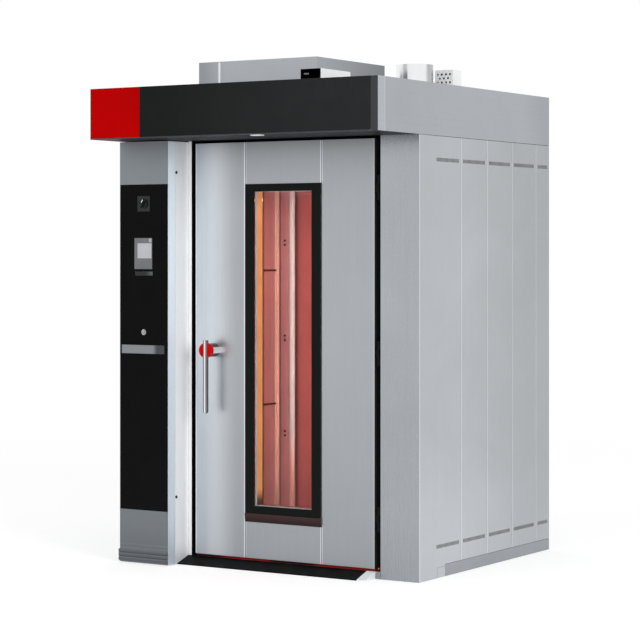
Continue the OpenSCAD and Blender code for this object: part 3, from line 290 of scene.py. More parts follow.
class Effects:
    """Shader node groups that several finishes share: grain, smudges, edge wear and painted edge highlights,
    and dust.
    """

    BROAD_PART: ClassVar[float] = 0.35  # share of the broad streaks in the grain
    COARSE: ClassVar[float] = 0.09  # scale of the broad streaks, as a part of the fine ones' scale
    EDGE_SPAN: ClassVar[tuple[float, float]] = (0.75, 0.99)  # rounded against true normal, from edge to flat
    UP_SPAN: ClassVar[tuple[float, float]] = (0.5, 0.95)  # upward part of the normal, from clean to dusty
    PATCH_SPAN: ClassVar[tuple[float, float]] = (0.45, 0.75)  # noise, from clean to dusty

    _groups: ClassVar[dict[str, bpy.types.NodeTree]] = {}

    @classmethod
    def _group(cls, name: str, inputs: dict[str, object],
               outputs: tuple[str, ...]) -> tuple[Graph, dict, dict]:
        """Starts a group with its sockets.

        Args:
            name: The group's name.
            inputs: Default value by input name; a tuple makes a vector.
            outputs: Names of the float outputs.

        Returns:
            The graph, the input sockets by name and the group output's sockets by name.
        """
        tree = bpy.data.node_groups.new(name, "ShaderNodeTree")
        for key, value in inputs.items():
            kind = "NodeSocketVector" if isinstance(value, tuple) else "NodeSocketFloat"
            socket = tree.interface.new_socket(key, in_out="INPUT", socket_type=kind)
            socket.default_value = value
        for key in outputs:
            tree.interface.new_socket(key, in_out="OUTPUT", socket_type="NodeSocketFloat")
        graph = Graph(tree)
        given = graph.add("NodeGroupInput")
        result = graph.add("NodeGroupOutput")
        cls._groups[name] = tree
        return (graph, {key: given.outputs[key] for key in inputs},
                {key: result.inputs[key] for key in outputs})

    @classmethod
    def grain(cls) -> bpy.types.NodeTree:
        """Returns the brushed grain: fine streaks along the axis that Stretch shortens."""
        if "brushed_grain" not in cls._groups:
            graph, given, result = cls._group(
                "brushed_grain", {"Vector": (0.0, 0.0, 0.0), "Stretch": (1.0, 1.0, 0.01), "Scale": 900.0},
                ("Streak", "Height"))
            along = graph.add("ShaderNodeVectorMath", operation="MULTIPLY")
            graph.feed(along.inputs[0], given["Vector"])
            graph.feed(along.inputs[1], given["Stretch"])
            fine = graph.noise(along.outputs[0], given["Scale"], 3.0, Roughness=0.6)
            coarse = graph.math("MULTIPLY", given["Scale"], cls.COARSE)
            broad = graph.noise(along.outputs[0], coarse, 2.0)
            streak = graph.math("ADD", graph.math("MULTIPLY", fine, 1.0 - cls.BROAD_PART),
                                graph.math("MULTIPLY", broad, cls.BROAD_PART))
            graph.feed(result["Streak"], streak)
            graph.feed(result["Height"], fine)
        return cls._groups["brushed_grain"]

    @classmethod
    def smudge(cls) -> bpy.types.NodeTree:
        """Returns soft clouds, for wiped and handled areas."""
        if "smudge" not in cls._groups:
            graph, given, result = cls._group(
                "smudge", {"Vector": (0.0, 0.0, 0.0), "Scale": 3.0, "Contrast": 0.2}, ("Cloud",))
            noise = graph.noise(given["Vector"], given["Scale"], 4.0, Roughness=0.55, Distortion=0.4)
            low = graph.math("SUBTRACT", 0.5, given["Contrast"])
            high = graph.math("ADD", 0.5, given["Contrast"])
            graph.feed(result["Cloud"], graph.remap(noise, 0.0, 1.0, low, high))
        return cls._groups["smudge"]

    @classmethod
    def edge(cls) -> bpy.types.NodeTree:
        """Returns a mask of edges, broken up by noise: worn edges on paint, painted highlights on steel and
        plastic.
        """
        if "edge_wear_and_highlight" not in cls._groups:
            graph, given, result = cls._group(
                "edge_wear_and_highlight", {"Vector": (0.0, 0.0, 0.0), "Radius": 0.0015, "Break": 0.4}, ("Mask",))
            rounded = graph.add("ShaderNodeBevel", {"Radius": given["Radius"]}, samples=4)
            true_normal = graph.add("ShaderNodeNewGeometry").outputs["True Normal"]
            dot = graph.add("ShaderNodeVectorMath", operation="DOT_PRODUCT")
            graph.feed(dot.inputs[0], rounded.outputs[0])
            graph.feed(dot.inputs[1], true_normal)
            edge = graph.remap(dot.outputs["Value"], 1.0, 0.0, *cls.EDGE_SPAN)
            noise = graph.noise(given["Vector"], 60.0, 3.0)
            keep = graph.math("GREATER_THAN", noise, given["Break"])
            graph.feed(result["Mask"], graph.math("MULTIPLY", edge, keep))
        return cls._groups["edge_wear_and_highlight"]

    @classmethod
    def dust(cls) -> bpy.types.NodeTree:
        """Returns a mask of dust on faces that look up."""
        if "flour_dust" not in cls._groups:
            graph, given, result = cls._group(
                "flour_dust", {"Vector": (0.0, 0.0, 0.0), "Amount": 0.3}, ("Mask",))
            normal = graph.add("ShaderNodeNewGeometry").outputs["Normal"]
            up = graph.add("ShaderNodeSeparateXYZ", {"Vector": normal}).outputs[2]
            patch = graph.remap(graph.noise(given["Vector"], 18.0, 6.0), 0.0, 1.0, *cls.PATCH_SPAN)
            mask = graph.math("MULTIPLY", graph.remap(up, 0.0, 1.0, *cls.UP_SPAN), patch)
            graph.feed(result["Mask"], graph.math("MULTIPLY", mask, given["Amount"]))
        return cls._groups["flour_dust"]


# ---------- Finishes ----------

STREAK_SPAN = (0.3, 0.7)  # the part of the grain's noise that shows


@dataclass(frozen=True)
class Finish:
    """A surface with a procedural material, made once and kept."""

    name: str
    colour: Colour
    made: ClassVar[dict[str, bpy.types.Material]] = {}

    def principled(self) -> tuple[bpy.types.Material, Graph, bpy.types.Node]:
        """Starts the material.

        Returns:
            The material, its graph and its Principled BSDF.
        """
        material = bpy.data.materials.new(f"finish_{self.name}")
        material.use_nodes = True
        material.diffuse_color = rgba(self.colour)
        graph = Graph(material.node_tree)
        return material, graph, material.node_tree.nodes["Principled BSDF"]

    def use(self, graph: Graph, group: bpy.types.NodeTree, **values: object) -> bpy.types.Node:
        """Places a shared effect with its own values.

        Args:
            graph: The material's graph.
            group: The node group.
            values: Values by input name.

        Returns:
            The group's node.
        """
        node = graph.add("ShaderNodeGroup", node_tree=group)
        for key, value in values.items():
            graph.feed(node.inputs[key], value)
        if "Vector" in node.inputs and "Vector" not in values:
            graph.feed(node.inputs["Vector"], graph.object_point())
        return node

    def paint_nodes(self, graph: Graph, shader: bpy.types.Node) -> None:
        """Fills the material's graph; each kind of finish has its own."""
        raise NotImplementedError

    def material(self) -> bpy.types.Material:
        """Returns the material, making it the first time."""
        if self.name not in self.made:
            material, graph, shader = self.principled()
            self.paint_nodes(graph, shader)
            self.made[self.name] = material
        return self.made[self.name]


@dataclass(frozen=True)
class Steel(Finish):
    """Brushed or polished stainless steel; with `metal` below 1 it also takes the lamps' light."""

    rough: float = 0.28
    grain: Grain = Grain.UPRIGHT
    streak: float = 0.05
    clouds: float = 0.06
    # share of painted highlight on the edges, towards edge_colour
    edge_highlight: float = 0.35
    edge_colour: Colour = (0.86, 0.87, 0.89)
    metal: float = 1.0
    # painted light and shade by place and by the way faces turn
    fades: tuple[PaintedFade, ...] = ()
    facings: tuple[PaintedFacing, ...] = ()

    def paint_nodes(self, graph: Graph, shader: bpy.types.Node) -> None:
        """Streaks, clouds, painted edge highlights and painted light and shade over a metal base."""
        grain = self.use(graph, Effects.grain(), Stretch=self.grain.value, Scale=900.0)
        cloud = self.use(graph, Effects.smudge(), Scale=1.7, Contrast=0.22)
        edge = self.use(graph, Effects.edge(), Radius=0.0012, Break=0.0)
        level = graph.remap(grain.outputs["Streak"], 1.0 - self.streak, 1.0 + self.streak, *STREAK_SPAN)
        level = graph.math("MULTIPLY", level,
                           graph.remap(cloud.outputs["Cloud"], 1.0 - self.clouds, 1.0 + self.clouds))
        level = graph.turned(graph.faded(level, self.fades), self.facings)
        # painted highlight on the edges
        highlighted = graph.blend(graph.math("MULTIPLY", edge.outputs["Mask"], self.edge_highlight),
                             graph.scaled(self.colour, level), rgba(self.edge_colour))
        graph.feed(shader.inputs["Base Color"], highlighted)
        rough = graph.remap(grain.outputs["Streak"], self.rough - 0.05, self.rough + 0.07, *STREAK_SPAN)
        rough = graph.math("ADD", rough, graph.math("MULTIPLY", cloud.outputs["Cloud"], 0.04))
        graph.feed(shader.inputs["Roughness"], rough)
        shader.inputs["Metallic"].default_value = self.metal
        graph.bump(shader, grain.outputs["Height"], strength=0.12, distance=0.0002)


@dataclass(frozen=True)
class HeatedSteel(Finish):
    """Dull inner steel that takes the lamps' warm light."""

    rough: float = 0.36
    metal: float = 0.55
    # colour of the painted highlight
    pale: Colour = (0.37, 0.55, 0.84)
    highlight_parts: tuple[PaintedFade, ...] = ()

    def paint_nodes(self, graph: Graph, shader: bpy.types.Node) -> None:
        """Upright streaks and heat clouds on a half-metallic base, with a pale part that is a painted
        highlight.
        """
        grain = self.use(graph, Effects.grain(), Stretch=Grain.UPRIGHT.value, Scale=260.0)
        cloud = self.use(graph, Effects.smudge(), Scale=2.2, Contrast=0.25)
        level = graph.remap(grain.outputs["Streak"], 0.85, 1.15, *STREAK_SPAN)
        level = graph.math("MULTIPLY", level, graph.remap(cloud.outputs["Cloud"], 0.88, 1.1))
        tone: object = self.colour
        if self.highlight_parts:
            tone = graph.blend(graph.faded(1.0, self.highlight_parts), rgba(self.colour), rgba(self.pale))
        graph.feed(shader.inputs["Base Color"], graph.scaled(tone, level))
        graph.feed(shader.inputs["Roughness"],
                   graph.remap(grain.outputs["Streak"], self.rough - 0.06, self.rough + 0.08, *STREAK_SPAN))
        shader.inputs["Metallic"].default_value = self.metal
        graph.bump(shader, grain.outputs["Height"], strength=0.1, distance=0.0002)


@dataclass(frozen=True)
class Paint(Finish):
    """Powder coat or enamel on steel, with a fine skin texture and worn edges."""

    rough: float = 0.45
    specular: float = 0.4
    skin: float = 0.15
    skin_scale: float = 700.0
    worn: Colour = (0.5, 0.5, 0.5)
    wear: float = 0.25
    dust: float = 0.0
    dust_colour: Colour = (0.62, 0.6, 0.57)
    # painted light and shade by place
    fades: tuple[PaintedFade, ...] = ()

    def paint_nodes(self, graph: Graph, shader: bpy.types.Node) -> None:
        """Coat colour with clouds, chipped edges, dust and orange-peel bump."""
        cloud = self.use(graph, Effects.smudge(), Scale=2.4, Contrast=0.25)
        edge = self.use(graph, Effects.edge(), Radius=0.001, Break=0.46)
        darker, lighter = shade(self.colour, 0.88), shade(self.colour, 1.1)
        base = graph.blend(cloud.outputs["Cloud"], rgba(darker), rgba(lighter))
        # painted light and shade
        if self.fades:
            base = graph.scaled(base, graph.faded(1.0, self.fades))
        base = graph.blend(graph.math("MULTIPLY", edge.outputs["Mask"], self.wear), base, rgba(self.worn))
        if self.dust:
            dust = self.use(graph, Effects.dust(), Amount=self.dust)
            base = graph.blend(dust.outputs["Mask"], base, rgba(self.dust_colour))
        graph.feed(shader.inputs["Base Color"], base)
        graph.feed(shader.inputs["Roughness"],
                   graph.remap(cloud.outputs["Cloud"], self.rough - 0.05, self.rough + 0.06))
        shader.inputs["Specular IOR Level"].default_value = self.specular
        skin = graph.noise(graph.object_point(), self.skin_scale, 2.0)
        graph.bump(shader, skin, strength=self.skin, distance=0.0003)


@dataclass(frozen=True)
class BackGlass(Finish):
    """Glass that is coloured on its back, as a fascia is: opaque, smooth and faintly smeared."""

    rough: float = 0.09
    specular: float = 0.12
    # painted light and shade by place
    fades: tuple[PaintedFade, ...] = ()

    def paint_nodes(self, graph: Graph, shader: bpy.types.Node) -> None:
        """A deep colour with wiped smears in the gloss."""
        cloud = self.use(graph, Effects.smudge(), Scale=5.0, Contrast=0.15)
        wiped = graph.noise(graph.stretched((30.0, 30.0, 2.0)), 1.0, 5.0)
        smear = graph.math("MULTIPLY", cloud.outputs["Cloud"], wiped)
        tone = graph.blend(smear, rgba(self.colour), rgba(shade(self.colour, 1.35, 0.001)))
        # painted light and shade
        graph.feed(shader.inputs["Base Color"], graph.scaled(tone, graph.faded(1.0, self.fades)))
        graph.feed(shader.inputs["Roughness"], graph.remap(smear, self.rough, self.rough + 0.14))
        shader.inputs["Specular IOR Level"].default_value = self.specular


@dataclass(frozen=True)
class ClearGlass(Finish):
    """Heat-reflecting window glass with a slight warm tint."""

    rough: float = 0.02
    ior: float = 1.16

    def paint_nodes(self, graph: Graph, shader: bpy.types.Node) -> None:
        """Clear transmission, a tint that varies a little and faint smears."""
        cloud = self.use(graph, Effects.smudge(), Scale=6.0, Contrast=0.2)
        tint = graph.blend(cloud.outputs["Cloud"], rgba(shade(self.colour, 0.95)), rgba(self.colour))
        graph.feed(shader.inputs["Base Color"], tint)
        graph.feed(shader.inputs["Roughness"],
                   graph.remap(cloud.outputs["Cloud"], self.rough, self.rough + 0.03))
        shader.inputs["Transmission Weight"].default_value = 1.0
        shader.inputs["IOR"].default_value = self.ior


@dataclass(frozen=True)
class Moulded(Finish):
    """Moulded plastic or rubber with a fine spark-eroded texture."""

    rough: float = 0.5
    specular: float = 0.35
    texture: float = 0.2

    def paint_nodes(self, graph: Graph, shader: bpy.types.Node) -> None:
        """Even colour with painted highlights on its edges and a fine pitted bump."""
        cloud = self.use(graph, Effects.smudge(), Scale=14.0, Contrast=0.2)
        edge = self.use(graph, Effects.edge(), Radius=0.0008, Break=0.2)
        base = graph.blend(cloud.outputs["Cloud"], rgba(shade(self.colour, 0.85)), rgba(self.colour))
        # painted highlight: a lighter colour on the edges
        highlight_mask = graph.math("MULTIPLY", edge.outputs["Mask"], 0.5)
        graph.feed(shader.inputs["Base Color"],
                   graph.blend(highlight_mask, base, rgba(shade(self.colour, 1.4, 0.02))))
        graph.feed(shader.inputs["Roughness"],
                   graph.remap(cloud.outputs["Cloud"], self.rough - 0.06, self.rough + 0.06))
        shader.inputs["Specular IOR Level"].default_value = self.specular
        pits = graph.add("ShaderNodeTexVoronoi", {"Vector": graph.object_point(), "Scale": 1400.0})
        graph.bump(shader, pits.outputs["Distance"], strength=self.texture, distance=0.0002)


@dataclass(frozen=True)
class Glow(Finish):
    """A lit lens or screen, or a lining that glows with painted light."""

    strength: float = 1.0
    rough: float = 0.35
    # painted shade by place
    fades: tuple[PaintedFade, ...] = ()

    def paint_nodes(self, graph: Graph, shader: bpy.types.Node) -> None:
        """A plain colour that gives off light, with clouds and soft fades."""
        cloud = self.use(graph, Effects.smudge(), Scale=9.0, Contrast=0.3)
        base = graph.blend(cloud.outputs["Cloud"], rgba(shade(self.colour, 0.82)), rgba(self.colour))
        base = graph.scaled(base, graph.faded(1.0, self.fades))
        graph.feed(shader.inputs["Base Color"], base)
        graph.feed(shader.inputs["Roughness"],
                   graph.remap(cloud.outputs["Cloud"], self.rough, self.rough + 0.1))
        graph.feed(shader.inputs["Emission Color"], base)
        shader.inputs["Emission Strength"].default_value = self.strength


@dataclass(frozen=True)
class Wool(Finish):
    """Pressed mineral wool behind foil: fibres, clumps and no gloss."""

    rough: float = 0.9

    def paint_nodes(self, graph: Graph, shader: bpy.types.Node) -> None:
        """Fibre streaks with soft clumps and a coarse bump."""
        fibre = graph.noise(graph.stretched((160.0, 24.0, 160.0)), 1.0, 6.0, Distortion=1.5)
        clump = self.use(graph, Effects.smudge(), Scale=11.0, Contrast=0.25)
        mixed = graph.math("MULTIPLY", fibre, graph.remap(clump.outputs["Cloud"], 0.6, 1.0))
        tone = graph.blend(mixed, rgba(shade(self.colour, 0.6)), rgba(self.colour))
        graph.feed(shader.inputs["Base Color"], tone)
        graph.feed(shader.inputs["Roughness"], graph.remap(fibre, self.rough - 0.1, 1.0))
        graph.bump(shader, fibre, strength=0.5, distance=0.002)


# painted shade darker towards the rear, and painted highlight on faces turned to the front or the back
SIDE_STEEL = Steel("side_sheet_steel", srgb(190, 193, 197), rough=0.34,
                   fades=(PaintedFade(1, -0.2, 0.85, 1.0, 0.86),),
                   facings=(PaintedFacing(1, 0.02, 0.2, 1.0, 1.35), PaintedFacing(1, -0.2, -0.02, 1.35, 1.0)))
REAR_STEEL = Steel("rear_sheet_steel", srgb(182, 185, 189), rough=0.32)
# painted highlight as a bright line at the fascia's joint; painted shade darker towards the rear and on faces
# turned down or to the front
CASING_STEEL = Steel("canopy_steel", srgb(176, 180, 185), rough=0.30, grain=Grain.DEEP, edge_highlight=0.05,
                     fades=(PaintedFade(1, -0.838, -0.832, 1.13, 1.3), PaintedFade(1, -0.832, -0.822, 1.0, 0.77),
                            PaintedFade(1, 0.55, 0.89, 1.0, 0.88)),
                     facings=(PaintedFacing(2, -0.9, -0.3, 0.10, 1.0), PaintedFacing(1, -0.98, -0.7, 0.12, 1.0)))
# painted shade: darker towards the floor
POST_STEEL = Steel("post_steel", srgb(173, 177, 182), rough=0.24, fades=(PaintedFade(2, 0.0, 1.4, 0.80, 1.0),))
# painted reflection on the lighter left part; painted shade towards the floor, near the top and at the right
# edge; painted highlight on faces turned sideways
DOOR_STEEL = Steel("door_steel", srgb(173, 177, 181), rough=0.33, streak=0.05, clouds=0.04,
                   fades=(PaintedFade(0, -0.38, -0.19, 1.62, 1.0), PaintedFade(2, 0.0, 1.2, 0.80, 1.0),
                          PaintedFade(2, 1.75, 2.13, 1.0, 0.89), PaintedFade(0, 0.586, 0.590, 1.0, 0.5)),
                   facings=(PaintedFacing(0, 0.02, 0.2, 1.0, 1.9), PaintedFacing(0, -0.2, -0.02, 1.9, 1.0)))
JAMB_STEEL = Steel("jamb_steel", srgb(253, 253, 252), rough=0.45, edge_highlight=0.1, metal=0.05)
# painted shade: darker at the foot, on faces turned to -X and on faces turned to the rear
COLUMN_STEEL = Steel("column_side_steel", srgb(247, 249, 252), rough=0.45, clouds=0.03, streak=0.03,
                     metal=0.3, fades=(PaintedFade(2, 0.0, 0.12, 0.85, 1.0),),
                     facings=(PaintedFacing(0, -0.7, -0.3, 0.42, 1.0), PaintedFacing(1, 0.3, 0.7, 1.0, 0.5)))
# grey front with painted light on faces turned to +X, four times brighter; painted shade at the foot, lighter
# towards the top
COVER_STEEL = Steel("column_front_steel", srgb(122, 128, 133), rough=0.45, metal=0.3,
                    fades=(PaintedFade(2, 0.0, 0.25, 0.78, 1.0), PaintedFade(2, 0.2, 2.0, 0.84, 1.12)),
                    facings=(PaintedFacing(0, 0.5, 0.9, 1.0, 4.2),))
# painted shade: the bar's right end darker
TRIM_STEEL = Steel("trim_steel", srgb(137, 141, 146), rough=0.3, grain=Grain.ACROSS,
                   fades=(PaintedFade(0, -0.6, -0.57, 1.0, 0.3),))
POLISHED = Steel("polished_steel", srgb(205, 207, 210), rough=0.08, streak=0.03, clouds=0.03,
                 grain=Grain.NONE)
# painted reflection: dark on faces turned left and far right, bright between
BAR_CHROME = Steel("bar_chrome", srgb(236, 237, 240), rough=0.10, streak=0.02, clouds=0.02,
                   grain=Grain.UPRIGHT,
                   facings=(PaintedFacing(0, -0.35, 0.15, 0.17, 1.0), PaintedFacing(0, 0.30, 0.55, 1.0, 0.20)))
# painted reflection: dark bands on the upper and lower faces
STANDOFF_CHROME = Steel("standoff_chrome", srgb(243, 244, 247), rough=0.14, streak=0.03, clouds=0.02,
                        grain=Grain.DEEP, edge_highlight=0.0,
                        facings=(PaintedFacing(2, -0.52, -0.36, 0.02, 1.0), PaintedFacing(2, 0.36, 0.52, 1.0, 0.07)))
PLAIN_STEEL = Steel("machined_steel", srgb(160, 163, 166), rough=0.3, grain=Grain.ACROSS)
LINER_STEEL = Steel("liner_steel", srgb(150, 150, 150), rough=0.38, grain=Grain.ACROSS)
# heat-tinted blades, with a painted highlight in pale blue-white at the rear above 0.66 m
BLADE_STEEL = HeatedSteel("heat_tinted_steel", (0.42, 0.37, 0.48),
                          highlight_parts=(PaintedFade(1, 0.535, 0.560, 0.0, 1.0), PaintedFade(2, 0.32, 0.66, 0.0, 1.0)))
CHAMBER_STEEL = HeatedSteel("chamber_wall_steel", (0.36, 0.135, 0.195))
ROOF_STEEL = Steel("roof_steel", srgb(150, 154, 159), rough=0.34, grain=Grain.ACROSS)
# painted shade: darker at the left, towards the rear and on faces turned to +X; lighter at the front
DRIVE_STEEL = Steel("drive_cover_steel", srgb(165, 169, 173), rough=0.34, grain=Grain.ACROSS,
                    fades=(PaintedFade(0, -0.565, -0.38, 0.72, 1.0), PaintedFade(1, -0.34, 0.33, 1.16, 0.74)),
                    facings=(PaintedFacing(0, 0.5, 0.9, 1.0, 0.92),))
# painted reflection: grey and light bands round the flue by the way its faces turn
FLUE_STEEL = Steel("flue_steel", srgb(244, 246, 248), rough=0.2, streak=0.03, grain=Grain.UPRIGHT,
                   facings=(PaintedFacing(0, -0.26, -0.05, 1.0, 0.6), PaintedFacing(0, 0.0, 0.18, 1.0, 1.6),
                            PaintedFacing(1, -0.45, -0.25, 1.0, 0.55)))
# painted shade at the left end, lighter to the right
STRIP_STEEL = Steel("label_strip_steel", srgb(74, 76, 78), rough=0.35, grain=Grain.ACROSS, metal=0.5,
                    fades=(PaintedFade(0, -0.66, -0.60, 0.25, 1.5),))
BUTTON_STEEL = Steel("button_steel", srgb(160, 163, 166), rough=0.3, streak=0.03, grain=Grain.NONE, metal=0.6)
# painted highlight along the drive cover's seam
STRIP_BRIGHT = Steel("seam_strip_steel", srgb(228, 231, 234), rough=0.25, metal=0.3)
CAP_STEEL = Steel("ramp_cap_steel", srgb(246, 247, 248), rough=0.3, grain=Grain.ACROSS, metal=0.2)
# painted shade on faces turned down, painted highlight on faces turned up
RIB_STEEL = Steel("foot_rib_steel", srgb(88, 92, 96), rough=0.3, streak=0.04, grain=Grain.ACROSS, metal=0.5,
                  facings=(PaintedFacing(2, -0.75, -0.45, 0.35, 1.0), PaintedFacing(2, 0.45, 0.75, 1.0, 1.7)))
RACK_STEEL = Steel("rack_hook_steel", srgb(168, 168, 168), rough=0.28, grain=Grain.UPRIGHT)
SCREW_DARK = Steel("screw_dark", (0.05, 0.035, 0.032), rough=0.4, grain=Grain.NONE)
CAST_GREY = Paint("cast_grey", (0.09, 0.09, 0.095), rough=0.6, skin=0.5, skin_scale=220.0)
MACHINE_BLUE = Paint("machine_paint", (0.09, 0.13, 0.19), rough=0.4, dust=0.4)
DARK_FRAME = Paint("dark_frame", (0.004, 0.004, 0.004), rough=0.6, specular=0.1, wear=0.05)
WINDOW_BLACK = Paint("window_frame_black", (0.0055, 0.0068, 0.0060), rough=0.42, specular=0.06, wear=0.03)
# painted shade below and painted highlight above on the sill
SILL_DARK = Paint("sill_brown_black", (0.026, 0.011, 0.012), rough=0.22, specular=0.16, wear=0.05,
                  fades=(PaintedFade(2, 0.229, 0.273, 0.7, 1.8),))
# near-black tread: painted shade and dark reflection on the ramp
RAMP_PAINTED_DARK = Paint("ramp_black", (0.0022, 0.0022, 0.0024), rough=0.45, specular=0.05, wear=0.05, dust=0.01)
SEAM_BROWN = Paint("seam_brown", (0.05, 0.012, 0.010), rough=0.6, specular=0.1, wear=0.0)
# red rubber, with painted glow and shade along X: dark and bright stretches under the door
WIPER_RED = Paint("wiper_red", (0.30, 0.012, 0.008), rough=0.55, specular=0.1, skin=0.05, wear=0.0,
                  fades=(PaintedFade(0, -0.33, -0.26, 0.25, 1.0), PaintedFade(0, -0.05, 0.0, 1.0, 0.15),
                         PaintedFade(0, 0.22, 0.27, 1.0, 6.67)))
SPACER_GREY = Paint("pane_spacer", (0.52, 0.56, 0.66), rough=0.5, specular=0.2, wear=0.0)
# near-black: painted shade under the canopy
HOOD_SHADE = Paint("canopy_underside", (0.016, 0.018, 0.019), rough=0.5, specular=0.05, wear=0.02)
RED_ENAMEL = Paint("red_enamel", (0.415, 0.0006, 0.0008), rough=0.35, specular=0.012, skin=0.04, wear=0.0)
HANDLE_RED = Paint("handle_red", (0.55, 0.001, 0.001), rough=0.22, specular=0.05, skin=0.03, wear=0.0)
FRAME_PAINT = Paint("base_frame_paint", srgb(145, 149, 154), rough=0.5, wear=0.2)
WHITE_PAINT = Paint("white_paint", srgb(233, 233, 234), rough=0.4, wear=0.1, skin=0.08)
VENT_WHITE = Paint("vent_white", (0.95, 0.95, 0.96), rough=0.4, wear=0.03, skin=0.08)
GLASS_BLACK = BackGlass("control_glass_black", (0.0020, 0.0020, 0.0020), specular=0.05)
# painted shade: darker towards the left
GLASS_HOOD = BackGlass("canopy_glass_black", (0.0130, 0.0142, 0.0146), rough=0.16, specular=0.11,
                       fades=(PaintedFade(0, -0.6, 0.84, 0.3, 1.0),))
GLASS_CLEAR = ClearGlass("window_glass", (0.97, 0.93, 0.90))
SEAL_RED = Moulded("seal_rubber", (0.30, 0.012, 0.008), rough=0.55)
PLASTIC_BLACK = Moulded("black_plastic", (0.010, 0.011, 0.011), rough=0.4)
BEZEL_GREY = Moulded("bezel_grey", srgb(112, 113, 115), rough=0.45)
BOARD_WHITE = Moulded("board_plastic", (0.42, 0.43, 0.42), rough=0.5)
FOOT_RUBBER = Moulded("foot_rubber", (0.02, 0.02, 0.02), rough=0.7)
# white line on the switch's grip: pointer and painted highlight
POINTER_HIGHLIGHT_WHITE = Moulded("pointer_highlight_white", (0.80, 0.80, 0.80), rough=0.5)
FOIL_WOOL = Wool("insulation_wool", (0.11, 0.108, 0.105))
CORE_BLACK = Wool("door_core_black", (0.006, 0.006, 0.006))
SCREEN_GLOW = Glow("screen_glow", srgb(172, 172, 178), strength=0.18)
LENS_GLOW = Glow("canopy_lamp_lens", (0.80, 0.81, 0.83), strength=0.25)
# painted light: the reveal's lining glows warm, with painted shade below 0.33 m
REVEAL_GLOW = Glow("reveal_painted_glow", (0.60, 0.31, 0.105), strength=0.46,
                   fades=(PaintedFade(2, 0.325, 0.40, 0.05, 1.0),))
LAMP_GLOW = Glow("chamber_lamp_lens", (1.0, 0.50, 0.20), strength=3.0)


# ---------- Piece tools ----------

SMOOTH_ANGLE = math.radians(30.0)


def place(name: str, data: bpy.types.ID) -> bpy.types.Object:
    """Adds an object that holds a mesh, a lamp or a camera."""
    holder = bpy.data.objects.new(name, data)
    bpy.context.scene.collection.objects.link(holder)
    return holder


def smooth(mesh: bpy.types.Mesh) -> None:
    """Shades faces that meet at a small angle as one."""
    mesh.shade_smooth()
    mesh.set_sharp_from_angle(angle=SMOOTH_ANGLE)


